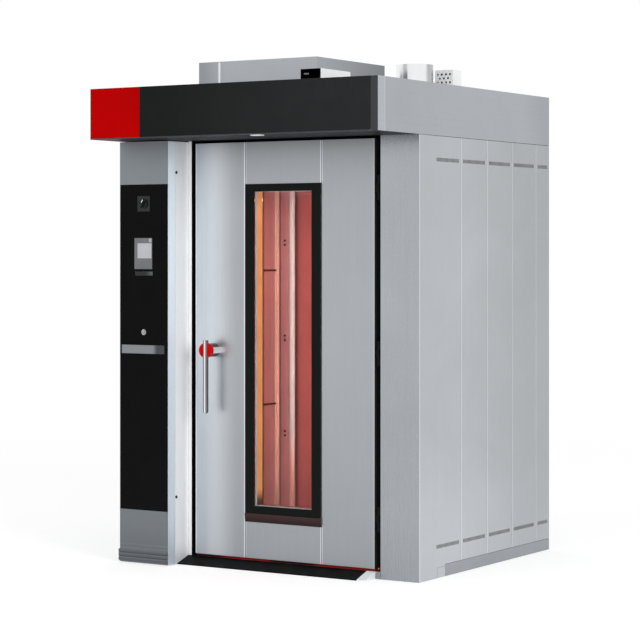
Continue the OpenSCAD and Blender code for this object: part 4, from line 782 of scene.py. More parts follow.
class Workshop:
    """Makes pieces, and ties each one to its body and the nodes that it stands for."""

    WELD: ClassVar[float] = 2e-6
    FLAT_ANGLE: ClassVar[float] = math.radians(0.4)
    SHARP_ANGLE: ClassVar[float] = math.radians(32.0)
    ROUND_STEPS: ClassVar[int] = 3
    LATHE_STEPS: ClassVar[int] = 48

    @staticmethod
    def from_bmesh(name: str, solid: bmesh.types.BMesh) -> bpy.types.Object:
        """Turns a bmesh into a piece.

        Args:
            name: The piece's name.
            solid: The shape, which is freed.

        Returns:
            The piece's object.
        """
        mesh = bpy.data.meshes.new(name)
        solid.to_mesh(mesh)
        solid.free()
        smooth(mesh)
        return place(name, mesh)

    @staticmethod
    def finish(piece: bpy.types.Object, finish: Finish, body: Body, slot: str,
               nodes: tuple[str, ...] = ()) -> None:
        """Gives a piece its material and body, and hides the nodes that it stands for.

        Args:
            piece: The piece's object.
            finish: Its finish.
            body: The body that it rides on.
            slot: The record's material slot; not used.
            nodes: The nodes that it stands for.
        """
        piece.data.materials.clear()
        piece.data.materials.append(finish.material())
        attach(piece, body.value)
        if nodes:
            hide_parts(*nodes)
        LOG.info("piece %s on %s", piece.name, body.value)

    @classmethod
    def add(cls, name: str, solid: bmesh.types.BMesh, finish: Finish, body: Body, slot: str,
            nodes: tuple[str, ...] = ()) -> None:
        """Turns a shape into a finished piece.

        Args:
            name: The piece's name.
            solid: The shape, which is freed.
            finish: Its finish.
            body: The body that it rides on.
            slot: The record's material slot.
            nodes: The nodes that it stands for.
        """
        cls.finish(cls.from_bmesh(name, solid), finish, body, slot, nodes)

    @staticmethod
    def merged(node: str) -> bmesh.types.BMesh:
        """Returns a node's mesh with its loose triangles joined and its flat faces dissolved.

        Args:
            node: The node's name.

        Returns:
            The joined shape, in the oven's frame.
        """
        source = frame["nodes"][node]
        solid = bmesh.new()
        solid.from_mesh(source.data)
        solid.transform(source.matrix_world)
        bmesh.ops.remove_doubles(solid, verts=solid.verts, dist=Workshop.WELD)
        bmesh.ops.dissolve_limit(solid, angle_limit=Workshop.FLAT_ANGLE, verts=solid.verts, edges=solid.edges,
                                 delimit={"NORMAL"})
        return solid

    @classmethod
    def softened(cls, node: str, finish: Finish, body: Body, width: float, segments: int) -> None:
        """Copies a node with its sharp edges rounded, as real sheet and cast edges are.

        Args:
            node: The node's name.
            finish: The finish of the copy.
            body: The body that it rides on.
            width: Width of the rounding in millimetres.
            segments: Steps of the rounding.
        """
        piece = cls.from_bmesh(f"{node}_soft", cls.merged(node))
        bevel = piece.modifiers.new("soft_edges", "BEVEL")
        bevel.width = width * MM
        bevel.segments = segments
        bevel.limit_method = "ANGLE"
        bevel.angle_limit = cls.SHARP_ANGLE
        bevel.use_clamp_overlap = False
        bevel.harden_normals = True
        slot = next(part["material_slot"] for part in frame["record"]["subparts"] if part["node"] == node)
        cls.finish(piece, finish, body, slot, (node,))

    @staticmethod
    def repaint(node: str, finish: Finish) -> None:
        """Gives a node its finish and leaves its shape alone."""
        for part in frame["nodes"][node].material_slots:
            part.material = finish.material()
        LOG.info("node %s repainted", node)

    @staticmethod
    def block(low: Point, high: Point) -> bmesh.types.BMesh:
        """Returns a box between two corners, in metres, ready to be shaped further."""
        solid = bmesh.new()
        bmesh.ops.create_cube(solid, size=1.0)
        for vert in solid.verts:
            vert.co = Vector([low[i] + (vert.co[i] + 0.5) * (high[i] - low[i]) for i in range(3)])
        return solid

    @staticmethod
    def cut(solid: bmesh.types.BMesh, axis: int, place: float, keep_above: bool) -> bmesh.types.BMesh:
        """Cuts a shape across an axis, keeps one side and closes the cut.

        Args:
            solid: The shape, which is changed.
            axis: 0, 1 or 2 for X, Y or Z.
            place: Where it is cut, in metres.
            keep_above: Whether the side of the larger values stays.

        Returns:
            The same shape.
        """
        spot = [0.0, 0.0, 0.0]
        way = [0.0, 0.0, 0.0]
        spot[axis] = place
        way[axis] = 1.0
        geometry = [*solid.verts, *solid.edges, *solid.faces]
        done = bmesh.ops.bisect_plane(solid, geom=geometry, plane_co=spot, plane_no=way,
                                      clear_inner=keep_above, clear_outer=not keep_above)
        rim = [one for one in done["geom_cut"] if isinstance(one, bmesh.types.BMEdge)]
        bmesh.ops.edgeloop_fill(solid, edges=rim)
        bmesh.ops.recalc_face_normals(solid, faces=solid.faces)
        return solid

    @staticmethod
    def prism(outline: list[tuple[float, float]], axis: int, low: float, high: float) -> bmesh.types.BMesh:
        """Draws an outline out along an axis.

        Args:
            outline: Corners in the plane of the two other axes, in their order, in metres.
            axis: 0, 1 or 2 for X, Y or Z.
            low: Where it starts, in metres.
            high: Where it ends, in metres.

        Returns:
            The drawn-out shape.
        """
        solid = bmesh.new()
        rings = []
        for level in (low, high):
            corners = [list(corner) for corner in outline]
            for corner in corners:
                corner.insert(axis, level)
            rings.append([solid.verts.new(corner) for corner in corners])
        for index in range(len(outline)):
            after = (index + 1) % len(outline)
            solid.faces.new((rings[0][index], rings[0][after], rings[1][after], rings[1][index]))
        solid.faces.new(rings[0])
        solid.faces.new(rings[1])
        bmesh.ops.recalc_face_normals(solid, faces=solid.faces)
        return solid

    @classmethod
    def rounded_block(cls, low: Point, high: Point, radius: float) -> bmesh.types.BMesh:
        """Returns a box with all its edges rounded.

        Args:
            low: The lowest corner in metres.
            high: The highest corner in metres.
            radius: The rounding in metres.

        Returns:
            The rounded box.
        """
        solid = cls.block(low, high)
        bmesh.ops.bevel(solid, geom=list(solid.edges), offset=radius, segments=cls.ROUND_STEPS, profile=0.5,
                        affect="EDGES", clamp_overlap=True)
        return solid

    @classmethod
    def lathe(cls, centre: Point, axis: int, profile: list[tuple[float, float]]) -> bmesh.types.BMesh:
        """Turns a closed profile round an axis.

        Args:
            centre: A point on the axis, in metres.
            axis: 0, 1 or 2 for X, Y or Z.
            profile: Pairs of distance along the axis and radius, in metres.

        Returns:
            The turned shape, with its ends closed.
        """
        solid = bmesh.new()
        steps = cls.LATHE_STEPS
        rings = []
        first, second = [(1, 2), (2, 0), (0, 1)][axis]
        for along, radius in profile:
            ring = []
            for step in range(steps):
                angle = math.tau * step / steps
                spot = list(centre)
                spot[axis] += along
                spot[first] += radius * math.cos(angle)
                spot[second] += radius * math.sin(angle)
                ring.append(solid.verts.new(spot))
            rings.append(ring)
        for lower, upper in zip(rings, rings[1:]):
            for step in range(steps):
                after = (step + 1) % steps
                solid.faces.new((lower[step], lower[after], upper[after], upper[step]))
        solid.faces.new(list(reversed(rings[0])))
        solid.faces.new(rings[-1])
        bmesh.ops.recalc_face_normals(solid, faces=solid.faces)
        return solid


class Recipe:
    """A Geometry Nodes tree with named inputs, which grows a piece from a plain base mesh."""

    def __init__(self, name: str, sizes: dict[str, float], finish: Finish) -> None:
        """Starts the tree.

        Args:
            name: The tree's name.
            sizes: Default value by input name, in metres or a count.
            finish: The finish that Set Material gives.
        """
        self.tree = bpy.data.node_groups.new(name, "GeometryNodeTree")
        self.tree.interface.new_socket("Geometry", in_out="INPUT", socket_type="NodeSocketGeometry")
        for key, value in sizes.items():
            kind = "NodeSocketInt" if isinstance(value, int) else "NodeSocketFloat"
            self.tree.interface.new_socket(key, in_out="INPUT", socket_type=kind).default_value = value
        self.tree.interface.new_socket("Geometry", in_out="OUTPUT", socket_type="NodeSocketGeometry")
        self.graph = Graph(self.tree)
        self.given = self.graph.add("NodeGroupInput")
        self.result = self.graph.add("NodeGroupOutput")
        self.finish = finish

    def close(self, geometry: bpy.types.NodeSocket) -> Recipe:
        """Ends the tree in Realize Instances and Set Material.

        Args:
            geometry: The geometry to put out.

        Returns:
            The recipe itself.
        """
        realized = self.graph.add("GeometryNodeRealizeInstances", {"Geometry": geometry})
        dressed = self.graph.add("GeometryNodeSetMaterial", {"Geometry": realized.outputs[0]})
        dressed.inputs["Material"].default_value = self.finish.material()
        self.graph.feed(self.result.inputs[0], dressed.outputs[0])
        return self

    def grow(self, name: str, base: bpy.types.Mesh, values: dict[str, float]) -> bpy.types.Object:
        """Runs the tree on a base mesh and keeps the result as a plain mesh.

        Args:
            name: The new piece's name.
            base: The mesh that the tree starts from.
            values: Values by input name.

        Returns:
            The piece's object, with no modifier.
        """
        holder = place(name, base)
        modifier = holder.modifiers.new("recipe", "NODES")
        modifier.node_group = self.tree
        for item in self.tree.interface.items_tree:
            if item.in_out == "INPUT" and item.name in values:
                modifier[item.identifier] = values[item.name]
        bpy.context.view_layer.update()
        shown = holder.evaluated_get(bpy.context.evaluated_depsgraph_get())
        grown = bpy.data.meshes.new_from_object(shown)
        holder.modifiers.clear()
        holder.data = grown
        smooth(grown)
        return holder


def point_cloud(name: str, spots: list[Point], facing: Point) -> bpy.types.Mesh:
    """Makes loose vertices that carry the way they all face.

    Args:
        name: The mesh's name.
        spots: Places in metres.
        facing: Their outward direction.

    Returns:
        The mesh.
    """
    mesh = bpy.data.meshes.new(name)
    mesh.from_pydata(spots, [], [])
    way = mesh.attributes.new("facing", "FLOAT_VECTOR", "POINT")
    way.data.foreach_set("vector", list(facing) * len(spots))
    return mesh


class Recipes:
    """The trees for what repeats: socket screws, rolled edges, swept rubber and soft keys."""

    CROWN: ClassVar[float] = 0.72  # a screw's top, as a part of its foot's radius
    SOCKET: ClassVar[float] = 0.42  # a screw's socket, as a part of its foot's radius
    SOCKET_TALL: ClassVar[float] = 1.2  # the cutter of the socket, as a part of the head's height
    SOCKET_LIFT: ClassVar[float] = 0.95  # the cutter's middle, as a part of the head's height
    KEY_DEPTH: ClassVar[float] = 0.0008  # depth of a key in metres
    KEY_RATIO: ClassVar[float] = 0.55  # height of a key, as a part of its width

    @classmethod
    def screws(cls, finish: Finish) -> Recipe:
        """Returns a tree that seats a domed socket screw on each point."""
        recipe = Recipe("socket_screws", {"Radius": 0.004, "Height": 0.002}, finish)
        graph, given = recipe.graph, recipe.given
        head = graph.add("GeometryNodeMeshCone", {
            "Vertices": 20, "Radius Bottom": given.outputs["Radius"], "Depth": given.outputs["Height"],
            "Radius Top": graph.math("MULTIPLY", given.outputs["Radius"], cls.CROWN)})
        socket = graph.add("GeometryNodeMeshCylinder", {
            "Vertices": 6, "Radius": graph.math("MULTIPLY", given.outputs["Radius"], cls.SOCKET),
            "Depth": graph.math("MULTIPLY", given.outputs["Height"], cls.SOCKET_TALL)})
        lift = graph.add("ShaderNodeCombineXYZ", {
            "Z": graph.math("MULTIPLY", given.outputs["Height"], cls.SOCKET_LIFT)})
        raised = graph.add("GeometryNodeTransform", {
            "Geometry": socket.outputs[0], "Translation": lift.outputs[0]})
        drilled = graph.add("GeometryNodeMeshBoolean", operation="DIFFERENCE", solver="EXACT")
        graph.feed(drilled.inputs["Mesh 1"], head.outputs[0])
        graph.feed(drilled.inputs["Mesh 2"], raised.outputs[0])
        way = graph.add("GeometryNodeInputNamedAttribute", {"Name": "facing"}, data_type="FLOAT_VECTOR")
        turn = graph.add("FunctionNodeAlignRotationToVector", {"Vector": way.outputs[0]}, axis="Z")
        placed = graph.add("GeometryNodeInstanceOnPoints", {
            "Points": given.outputs["Geometry"], "Instance": drilled.outputs[0], "Rotation": turn.outputs[0]})
        return recipe.close(placed.outputs[0])

    @staticmethod
    def rolled_edges(finish: Finish) -> Recipe:
        """Returns a tree that stands a round bar on each point, as a blade's rolled edge."""
        recipe = Recipe("rolled_edges", {"Radius": 0.002, "Height": 1.0}, finish)
        graph, given = recipe.graph, recipe.given
        top = graph.add("ShaderNodeCombineXYZ", {"Z": given.outputs["Height"]})
        line = graph.add("GeometryNodeCurvePrimitiveLine", {"End": top.outputs[0]})
        ring = graph.add("GeometryNodeCurvePrimitiveCircle", {
            "Resolution": 10, "Radius": given.outputs["Radius"]})
        bar = graph.add("GeometryNodeCurveToMesh", {
            "Curve": line.outputs[0], "Profile Curve": ring.outputs[0], "Fill Caps": True})
        placed = graph.add("GeometryNodeInstanceOnPoints", {
            "Points": given.outputs["Geometry"], "Instance": bar.outputs[0]})
        return recipe.close(placed.outputs[0])

    @staticmethod
    def swept_bulb(finish: Finish) -> Recipe:
        """Returns a tree that sweeps a round rubber bulb along the base mesh's edges."""
        recipe = Recipe("swept_bulb", {"Radius": 0.0045}, finish)
        graph, given = recipe.graph, recipe.given
        path = graph.add("GeometryNodeMeshToCurve", {"Mesh": given.outputs["Geometry"]})
        soft = graph.add("GeometryNodeFilletCurve", {"Curve": path.outputs[0], "Count": 6, "Radius": 0.02},
                         mode="POLY")
        ring = graph.add("GeometryNodeCurvePrimitiveCircle", {
            "Resolution": 14, "Radius": given.outputs["Radius"]})
        bulb = graph.add("GeometryNodeCurveToMesh", {
            "Curve": soft.outputs[0], "Profile Curve": ring.outputs[0], "Fill Caps": True})
        return recipe.close(bulb.outputs[0])

    @classmethod
    def key_grid(cls, finish: Finish) -> Recipe:
        """Returns a tree that lays a grid of small flat keys on the X and Z plane."""
        sizes = {"Columns": 4, "Rows": 2, "Width": 0.08, "Height": 0.03, "Key": 0.012}
        recipe = Recipe("key_grid", sizes, finish)
        graph, given = recipe.graph, recipe.given
        grid = graph.add("GeometryNodeMeshGrid", {
            "Size X": given.outputs["Width"], "Size Y": given.outputs["Height"],
            "Vertices X": given.outputs["Columns"], "Vertices Y": given.outputs["Rows"]})
        tall = graph.add("GeometryNodeTransform", {
            "Geometry": grid.outputs[0], "Rotation": (math.pi / 2, 0.0, 0.0)})
        size = graph.add("ShaderNodeCombineXYZ", {
            "X": given.outputs["Key"], "Y": cls.KEY_DEPTH,
            "Z": graph.math("MULTIPLY", given.outputs["Key"], cls.KEY_RATIO)})
        key = graph.add("GeometryNodeMeshCube", {"Size": size.outputs[0]})
        placed = graph.add("GeometryNodeInstanceOnPoints", {
            "Points": tall.outputs[0], "Instance": key.outputs[0]})
        spot = graph.add("GeometryNodeInstanceOnPoints", {
            "Points": given.outputs["Geometry"], "Instance": placed.outputs[0]})
        return recipe.close(spot.outputs[0])


# ---------- The oven's parts ----------


@dataclass(frozen=True)
class Part:
    """One node of a sub-assembly with its finish and its edges' rounding, whose width is in millimetres."""

    node: str
    finish: Finish
    width: float = 0.5
    segments: int = 2


@dataclass
class SubAssembly:
    """Common work of all sub-assemblies: rounded copies and repainted nodes.

    All lengths and places among the fields of a sub-assembly are in metres.
    """

    body: Body = Body.CASING
    softened: tuple[Part, ...] = ()
    repainted: tuple[Part, ...] = ()

    def dress(self) -> None:
        """Rounds the edges of the parts that show, and repaints the others."""
        for part in self.softened:
            Workshop.softened(part.node, part.finish, self.body, part.width, part.segments)
        for part in self.repainted:
            Workshop.repaint(part.node, part.finish)

    def fittings(self) -> None:
        """Adds the small pieces that the frame leaves out; none here."""

    def build(self) -> None:
        """Makes the whole sub-assembly."""
        self.dress()
        self.fittings()
        LOG.info("%s done", type(self).__name__)


@dataclass
class Cabinet(SubAssembly):
    """Side, rear and front sheets on their base frame."""

    softened: tuple[Part, ...] = (
        Part("right_side_panels", SIDE_STEEL, 0.4, 1), Part("left_side_panels", SIDE_STEEL, 0.4, 1),
        Part("rear_panels", REAR_STEEL, 0.4), Part("front_post", POST_STEEL, 0.6, 3),
        Part("lock_jamb", JAMB_STEEL, 0.4), Part("base_frame", FRAME_PAINT, 1.0))
    repainted: tuple[Part, ...] = (
        Part("levelling_feet", FOOT_RUBBER), Part("mouth_frame", DARK_FRAME), Part("insulation", FOIL_WOOL),
        Part("door_hinges", DARK_FRAME))
    screw_radius: float = 0.0045
    screw_height: float = 0.0008
    screw_pitch: float = 0.38
    screw_inset: float = 0.018
    screw_margin: float = 0.05
    panels: int = 4
    skin: float = 0.0001  # depth in which a vertex counts as part of the panels' faces
    cap_length: float = 0.048
    cap_gap: float = 0.0004

    def ramp(self) -> None:
        """The ramp in two pieces, its tread painted near-black as shade and dark reflection, and the bright
        cap at its end.
        """
        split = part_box("entry_ramp")[1][0] - self.cap_length
        tread = Workshop.cut(Workshop.merged("entry_ramp"), 0, split, False)
        Workshop.add("entry_ramp_tread", tread, RAMP_PAINTED_DARK, self.body, "ramp_black", ("entry_ramp",))
        cap = Workshop.cut(Workshop.merged("entry_ramp"), 0, split + self.cap_gap, True)
        Workshop.add("ramp_end_cap", cap, CAP_STEEL, self.body, "ramp_black")

    def rear_screws(self) -> None:
        """Rows of screws down the rear panels' edges, with the panels' faces set in by their height."""
        low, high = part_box("rear_panels")
        pitch = (high[0] - low[0]) / self.panels
        span = high[2] - low[2] - 2 * self.screw_margin
        rows = int(span / self.screw_pitch)
        spots = [(low[0] + panel * pitch + side, high[1] - self.screw_height - self.skin,
                  low[2] + self.screw_margin + row * span / rows)
                 for panel in range(self.panels)
                 for side in (self.screw_inset, pitch - self.screw_inset)
                 for row in range(rows + 1)]
        screws = Recipes.screws(PLAIN_STEEL).grow(
            "rear_panel_screws", point_cloud("rear_screws", spots, ALONG_Y),
            {"Radius": self.screw_radius, "Height": self.screw_height})
        for vert in bpy.data.objects["rear_panels_soft"].data.vertices:
            if vert.co.y > high[1] - self.skin:
                vert.co.y -= self.screw_height
        Workshop.finish(screws, PLAIN_STEEL, self.body, "gear_steel")

    def fittings(self) -> None:
        """The ramp's two pieces and the rear panels' screws."""
        self.ramp()
        self.rear_screws()


@dataclass
class Canopy(SubAssembly):
    """The upper casing with its fascia, underside and lamp."""

    softened: tuple[Part, ...] = (
        Part("hood_casing", CASING_STEEL, 0.6), Part("hood_underside", HOOD_SHADE, 0.4, 1),
        Part("hood_glass", GLASS_HOOD, 0.6, 3), Part("hood_red_plate", RED_ENAMEL, 0.6, 3),
        Part("hood_lamp", LENS_GLOW, 0.8, 3))
    repainted: tuple[Part, ...] = (Part("roof_deck", ROOF_STEEL),)


@dataclass
class ControlColumn(SubAssembly):
    """The fixed shell of the control column, with its screws and inside parts."""

    softened: tuple[Part, ...] = (
        Part("column_shell", COLUMN_STEEL, 0.5), Part("cover_screws", PLASTIC_BLACK, 0.3, 2))
    repainted: tuple[Part, ...] = (Part("control_board", BOARD_WHITE),)


@dataclass
class ColumnCover(SubAssembly):
    """The column's hinged cover with its glass, display, bar and switch plate."""

    body: Body = Body.COLUMN_COVER
    softened: tuple[Part, ...] = (
        Part("column_cover", COVER_STEEL, 0.6), Part("control_glass", GLASS_BLACK, 0.5, 3),
        Part("display_unit", BEZEL_GREY, 0.5, 2), Part("trim_bar", TRIM_STEEL, 0.8, 3),
        Part("switch_plate", PLASTIC_BLACK, 0.6, 3))
    repainted: tuple[Part, ...] = (Part("display_screen", SCREEN_GLOW),)
    key_rise: float = 0.022
    key_lift: float = 0.0002
    label_lift: float = 0.0006
    strip_drop: float = 0.032
    strip_height: float = 0.019
    strip_inset: float = 0.004
    strip_reach: float = 0.002
    peg_inset: tuple[float, float] = (0.004, 0.003)  # from the right and from the top
    peg_size: tuple[float, float] = (0.015, 0.018)
    rib_levels: tuple[float, ...] = (0.018, 0.038, 0.058)
    rib_depth: float = 0.003
    rib_root: float = 0.008
    rib_crest: float = 0.005
    rib_valley: float = 0.0004
    rib_base: float = 0.0005
    rib_margins: tuple[float, ...] = (0.004, 0.002, 0.004, 0.010)  # left, right, foot and top
    # Pairs of distance along Y and distance beyond the button's radius.
    ring_profile: tuple[tuple[float, float], ...] = (
        (0.0, 0.0035), (-0.0012, 0.0032), (-0.0018, 0.002), (-0.0016, 0.0006), (0.0, 0.0004), (0.0, 0.0035))

    def display(self) -> None:
        """Blank soft keys under the screen, a bare label strip below them and a peg at the corner."""
        low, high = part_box("display_unit")
        spot = ((low[0] + high[0]) / 2, low[1] - self.key_lift, low[2] + self.key_rise)
        keys = Recipes.key_grid(BEZEL_GREY).grow(
            "display_soft_keys", point_cloud("key_spot", [spot], (0.0, -1.0, 0.0)),
            {"Columns": 4, "Rows": 2, "Width": 0.078, "Height": 0.018, "Key": 0.013})
        Workshop.finish(keys, BEZEL_GREY, self.body, "display_bezel")
        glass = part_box("control_glass")[0][1]
        foot = low[2] - self.strip_drop
        strip = Workshop.rounded_block(
            (low[0] + self.strip_inset, glass - self.label_lift, foot),
            (high[0] + self.strip_reach, glass + SUNK, foot + self.strip_height), PLATE_ROUND)
        Workshop.add("display_label_strip", strip, STRIP_STEEL, self.body, "display_bezel")
        right, top = high[0] - self.peg_inset[0], high[2] - self.peg_inset[1]
        peg = Workshop.rounded_block(
            (right - self.peg_size[0], low[1] - self.label_lift, top - self.peg_size[1]),
            (right, low[1] + SUNK, top), PLATE_ROUND)
        Workshop.add("display_corner_peg", peg, BOARD_WHITE, self.body, "display_bezel")

    def foot_ribs(self) -> None:
        """Three pressed ribs across the cover's foot, as one sheet."""
        low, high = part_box("column_cover")
        left, right, foot, top = self.rib_margins
        face = low[1]
        valley = face - self.rib_valley
        outline = [(face + self.rib_base, low[2] + foot)]
        for level in self.rib_levels:
            outline += [(valley, level - self.rib_root), (face - self.rib_depth, level - self.rib_crest),
                        (face - self.rib_depth, level + self.rib_crest), (valley, level + self.rib_root)]
        outline.append((face + self.rib_base, self.rib_levels[-1] + top))
        ribs = Workshop.prism(outline, 0, low[0] + left, high[0] - right)
        Workshop.add("column_foot_ribs", ribs, RIB_STEEL, self.body, "cover_steel")

    def button_ring(self) -> None:
        """A polished ring round the push button, open in the middle."""
        low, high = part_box("start_button")
        centre = ((low[0] + high[0]) / 2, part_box("control_glass")[0][1], (low[2] + high[2]) / 2)
        radius = (high[0] - low[0]) / 2
        ring = Workshop.lathe(centre, 1, [(along, radius + beyond) for along, beyond in self.ring_profile])
        for face in [one for one in ring.faces if len(one.verts) > 4]:
            ring.faces.remove(face)
        bmesh.ops.remove_doubles(ring, verts=ring.verts, dist=1e-6)
        bmesh.ops.recalc_face_normals(ring, faces=ring.faces)
        Workshop.add("start_button_ring", ring, POLISHED, self.body, "handle_steel")

    def fittings(self) -> None:
        """The display's small pieces, the foot's ribs and the button's ring."""
        self.display()
        self.foot_ribs()
        self.button_ring()


@dataclass
class MainSwitch(SubAssembly):
    """The rotary main switch with a white line on its grip, which is its pointer and a painted highlight."""

    body: Body = Body.SWITCH
    softened: tuple[Part, ...] = (Part("switch_knob", PLASTIC_BLACK, 1.2, 3),)
    lean: float = 30.0
    mark_half: float = 0.0022
    mark_reach: tuple[float, float] = (0.006, 0.0225)  # from the knob's middle
    mark_depth: tuple[float, float] = (-0.0003, 0.0006)  # from the knob's front

    def fittings(self) -> None:
        """A white line on the grip's upper end, which is its pointer and a painted highlight."""
        low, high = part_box("switch_knob")
        middle_x, middle_z = (low[0] + high[0]) / 2, (low[2] + high[2]) / 2
        mark = Workshop.rounded_block((-self.mark_half, low[1] + self.mark_depth[0], self.mark_reach[0]),
                                      (self.mark_half, low[1] + self.mark_depth[1], self.mark_reach[1]),
                                      PLATE_ROUND)
        turn = math.radians(self.lean)
        for vert in mark.verts:
            x, z = vert.co.x, vert.co.z
            vert.co.x = middle_x + x * math.cos(turn) + z * math.sin(turn)
            vert.co.z = middle_z - x * math.sin(turn) + z * math.cos(turn)
        Workshop.add("switch_pointer_highlight", mark, POINTER_HIGHLIGHT_WHITE, self.body, "white_paint")


@dataclass
class StartButton(SubAssembly):
    """The push button."""

    body: Body = Body.BUTTON
    softened: tuple[Part, ...] = (Part("start_button", BUTTON_STEEL, 1.0, 3),)


@dataclass
class OvenDoor(SubAssembly):
    """The door: sheets, core, liner, window, sill, seal and hinge leaves."""

    body: Body = Body.DOOR
    softened: tuple[Part, ...] = (
        Part("door_skins", DOOR_STEEL, 0.5), Part("door_liner", LINER_STEEL, 0.4),
        Part("window_frame", WINDOW_BLACK, 0.9, 3), Part("window_sill", SILL_DARK, 0.8, 3),
        Part("handle_standoff", STANDOFF_CHROME, 1.0, 3))
    repainted: tuple[Part, ...] = (
        Part("door_core", CORE_BLACK), Part("door_hinge_leaves", DARK_FRAME),
        Part("window_panes", GLASS_CLEAR))
    bulb_radius: float = 0.0045
    seal_inset: float = 0.007
    seal_rise: float = 0.004
    pane: float = 0.006
    pane_gap: float = 0.0003
    lining: float = 0.001
    lining_gap: float = 0.0005
    spacer: float = 0.012

    @staticmethod
    def reveal(near: float, far: float, thick: float) -> bmesh.types.BMesh:
        """Lines the window's reveal between the panes.

        Args:
            near: Where the lining starts along Y, in metres.
            far: Where it ends.
            thick: Its thickness in metres.

        Returns:
            The frame-shaped lining.
        """
        low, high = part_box("window_panes")
        rings = [[(low[0], low[2]), (high[0], low[2]), (high[0], high[2]), (low[0], high[2])],
                 [(low[0] + thick, low[2] + thick), (high[0] - thick, low[2] + thick),
                  (high[0] - thick, high[2] - thick), (low[0] + thick, high[2] - thick)]]
        solid = bmesh.new()
        near_out, near_in, far_out, far_in = [
            [solid.verts.new((x, y, z)) for x, z in ring] for y in (near, far) for ring in rings]
        for index in range(4):
            after = (index + 1) % 4
            for first, second in ((near_out, near_in), (near_in, far_in),
                                  (far_in, far_out), (far_out, near_out)):
                solid.faces.new((first[index], first[after], second[after], second[index]))
        bmesh.ops.recalc_face_normals(solid, faces=solid.faces)
        return solid

    def window(self) -> None:
        """The spacer behind the front pane, and the lining of the reveal behind it, which glows with painted
        light.
        """
        low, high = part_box("window_panes")
        near, far = low[1] + self.pane + self.pane_gap, high[1] - self.pane - self.pane_gap
        back = near + self.spacer
        spacer = self.reveal(near, back, self.lining * 2.0)
        Workshop.add("window_pane_spacer", spacer, SPACER_GREY, self.body, "liner_steel")
        lining = self.reveal(back + self.lining_gap, far, self.lining)
        Workshop.add("window_reveal_lining", lining, REVEAL_GLOW, self.body, "liner_steel")

    def seals(self) -> None:
        """A rubber bulb along the door's sides and top, and the wiper strip under the door."""
        low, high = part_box("door_seal")
        core_low, core_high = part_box("door_core")
        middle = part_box("door_liner")[1][1] + self.bulb_radius
        left, right, top = low[0] + self.seal_inset, high[0] - self.seal_inset, high[2] - self.seal_inset
        foot = core_low[2] + self.seal_rise
        path = bpy.data.meshes.new("seal_path")
        corners = ((left, foot), (left, top), (right, top), (right, foot))
        path.from_pydata([(x, middle, z) for x, z in corners], [(0, 1), (1, 2), (2, 3)], [])
        bulb = Recipes.swept_bulb(SEAL_RED).grow("door_bulb_seal", path, {"Radius": self.bulb_radius})
        wiper = Workshop.merged("door_seal")
        bulb_verts = [vert for vert in wiper.verts if vert.co.y > core_high[1]]
        bmesh.ops.delete(wiper, geom=bulb_verts, context="VERTS")
        Workshop.add("door_wiper_strip", wiper, WIPER_RED, self.body, "seal_rubber", ("door_seal",))
        Workshop.finish(bulb, SEAL_RED, self.body, "seal_rubber")

    def fittings(self) -> None:
        """The window's spacer and lining, and the door's seals."""
        self.window()
        self.seals()


@dataclass
class Handle(SubAssembly):
    """The turning bar with its red disc and spindle."""

    body: Body = Body.HANDLE
    softened: tuple[Part, ...] = (
        Part("handle_bar", BAR_CHROME, 0.6, 3), Part("handle_disc", HANDLE_RED, 0.8, 3))
    repainted: tuple[Part, ...] = (Part("handle_spindle", PLAIN_STEEL),)


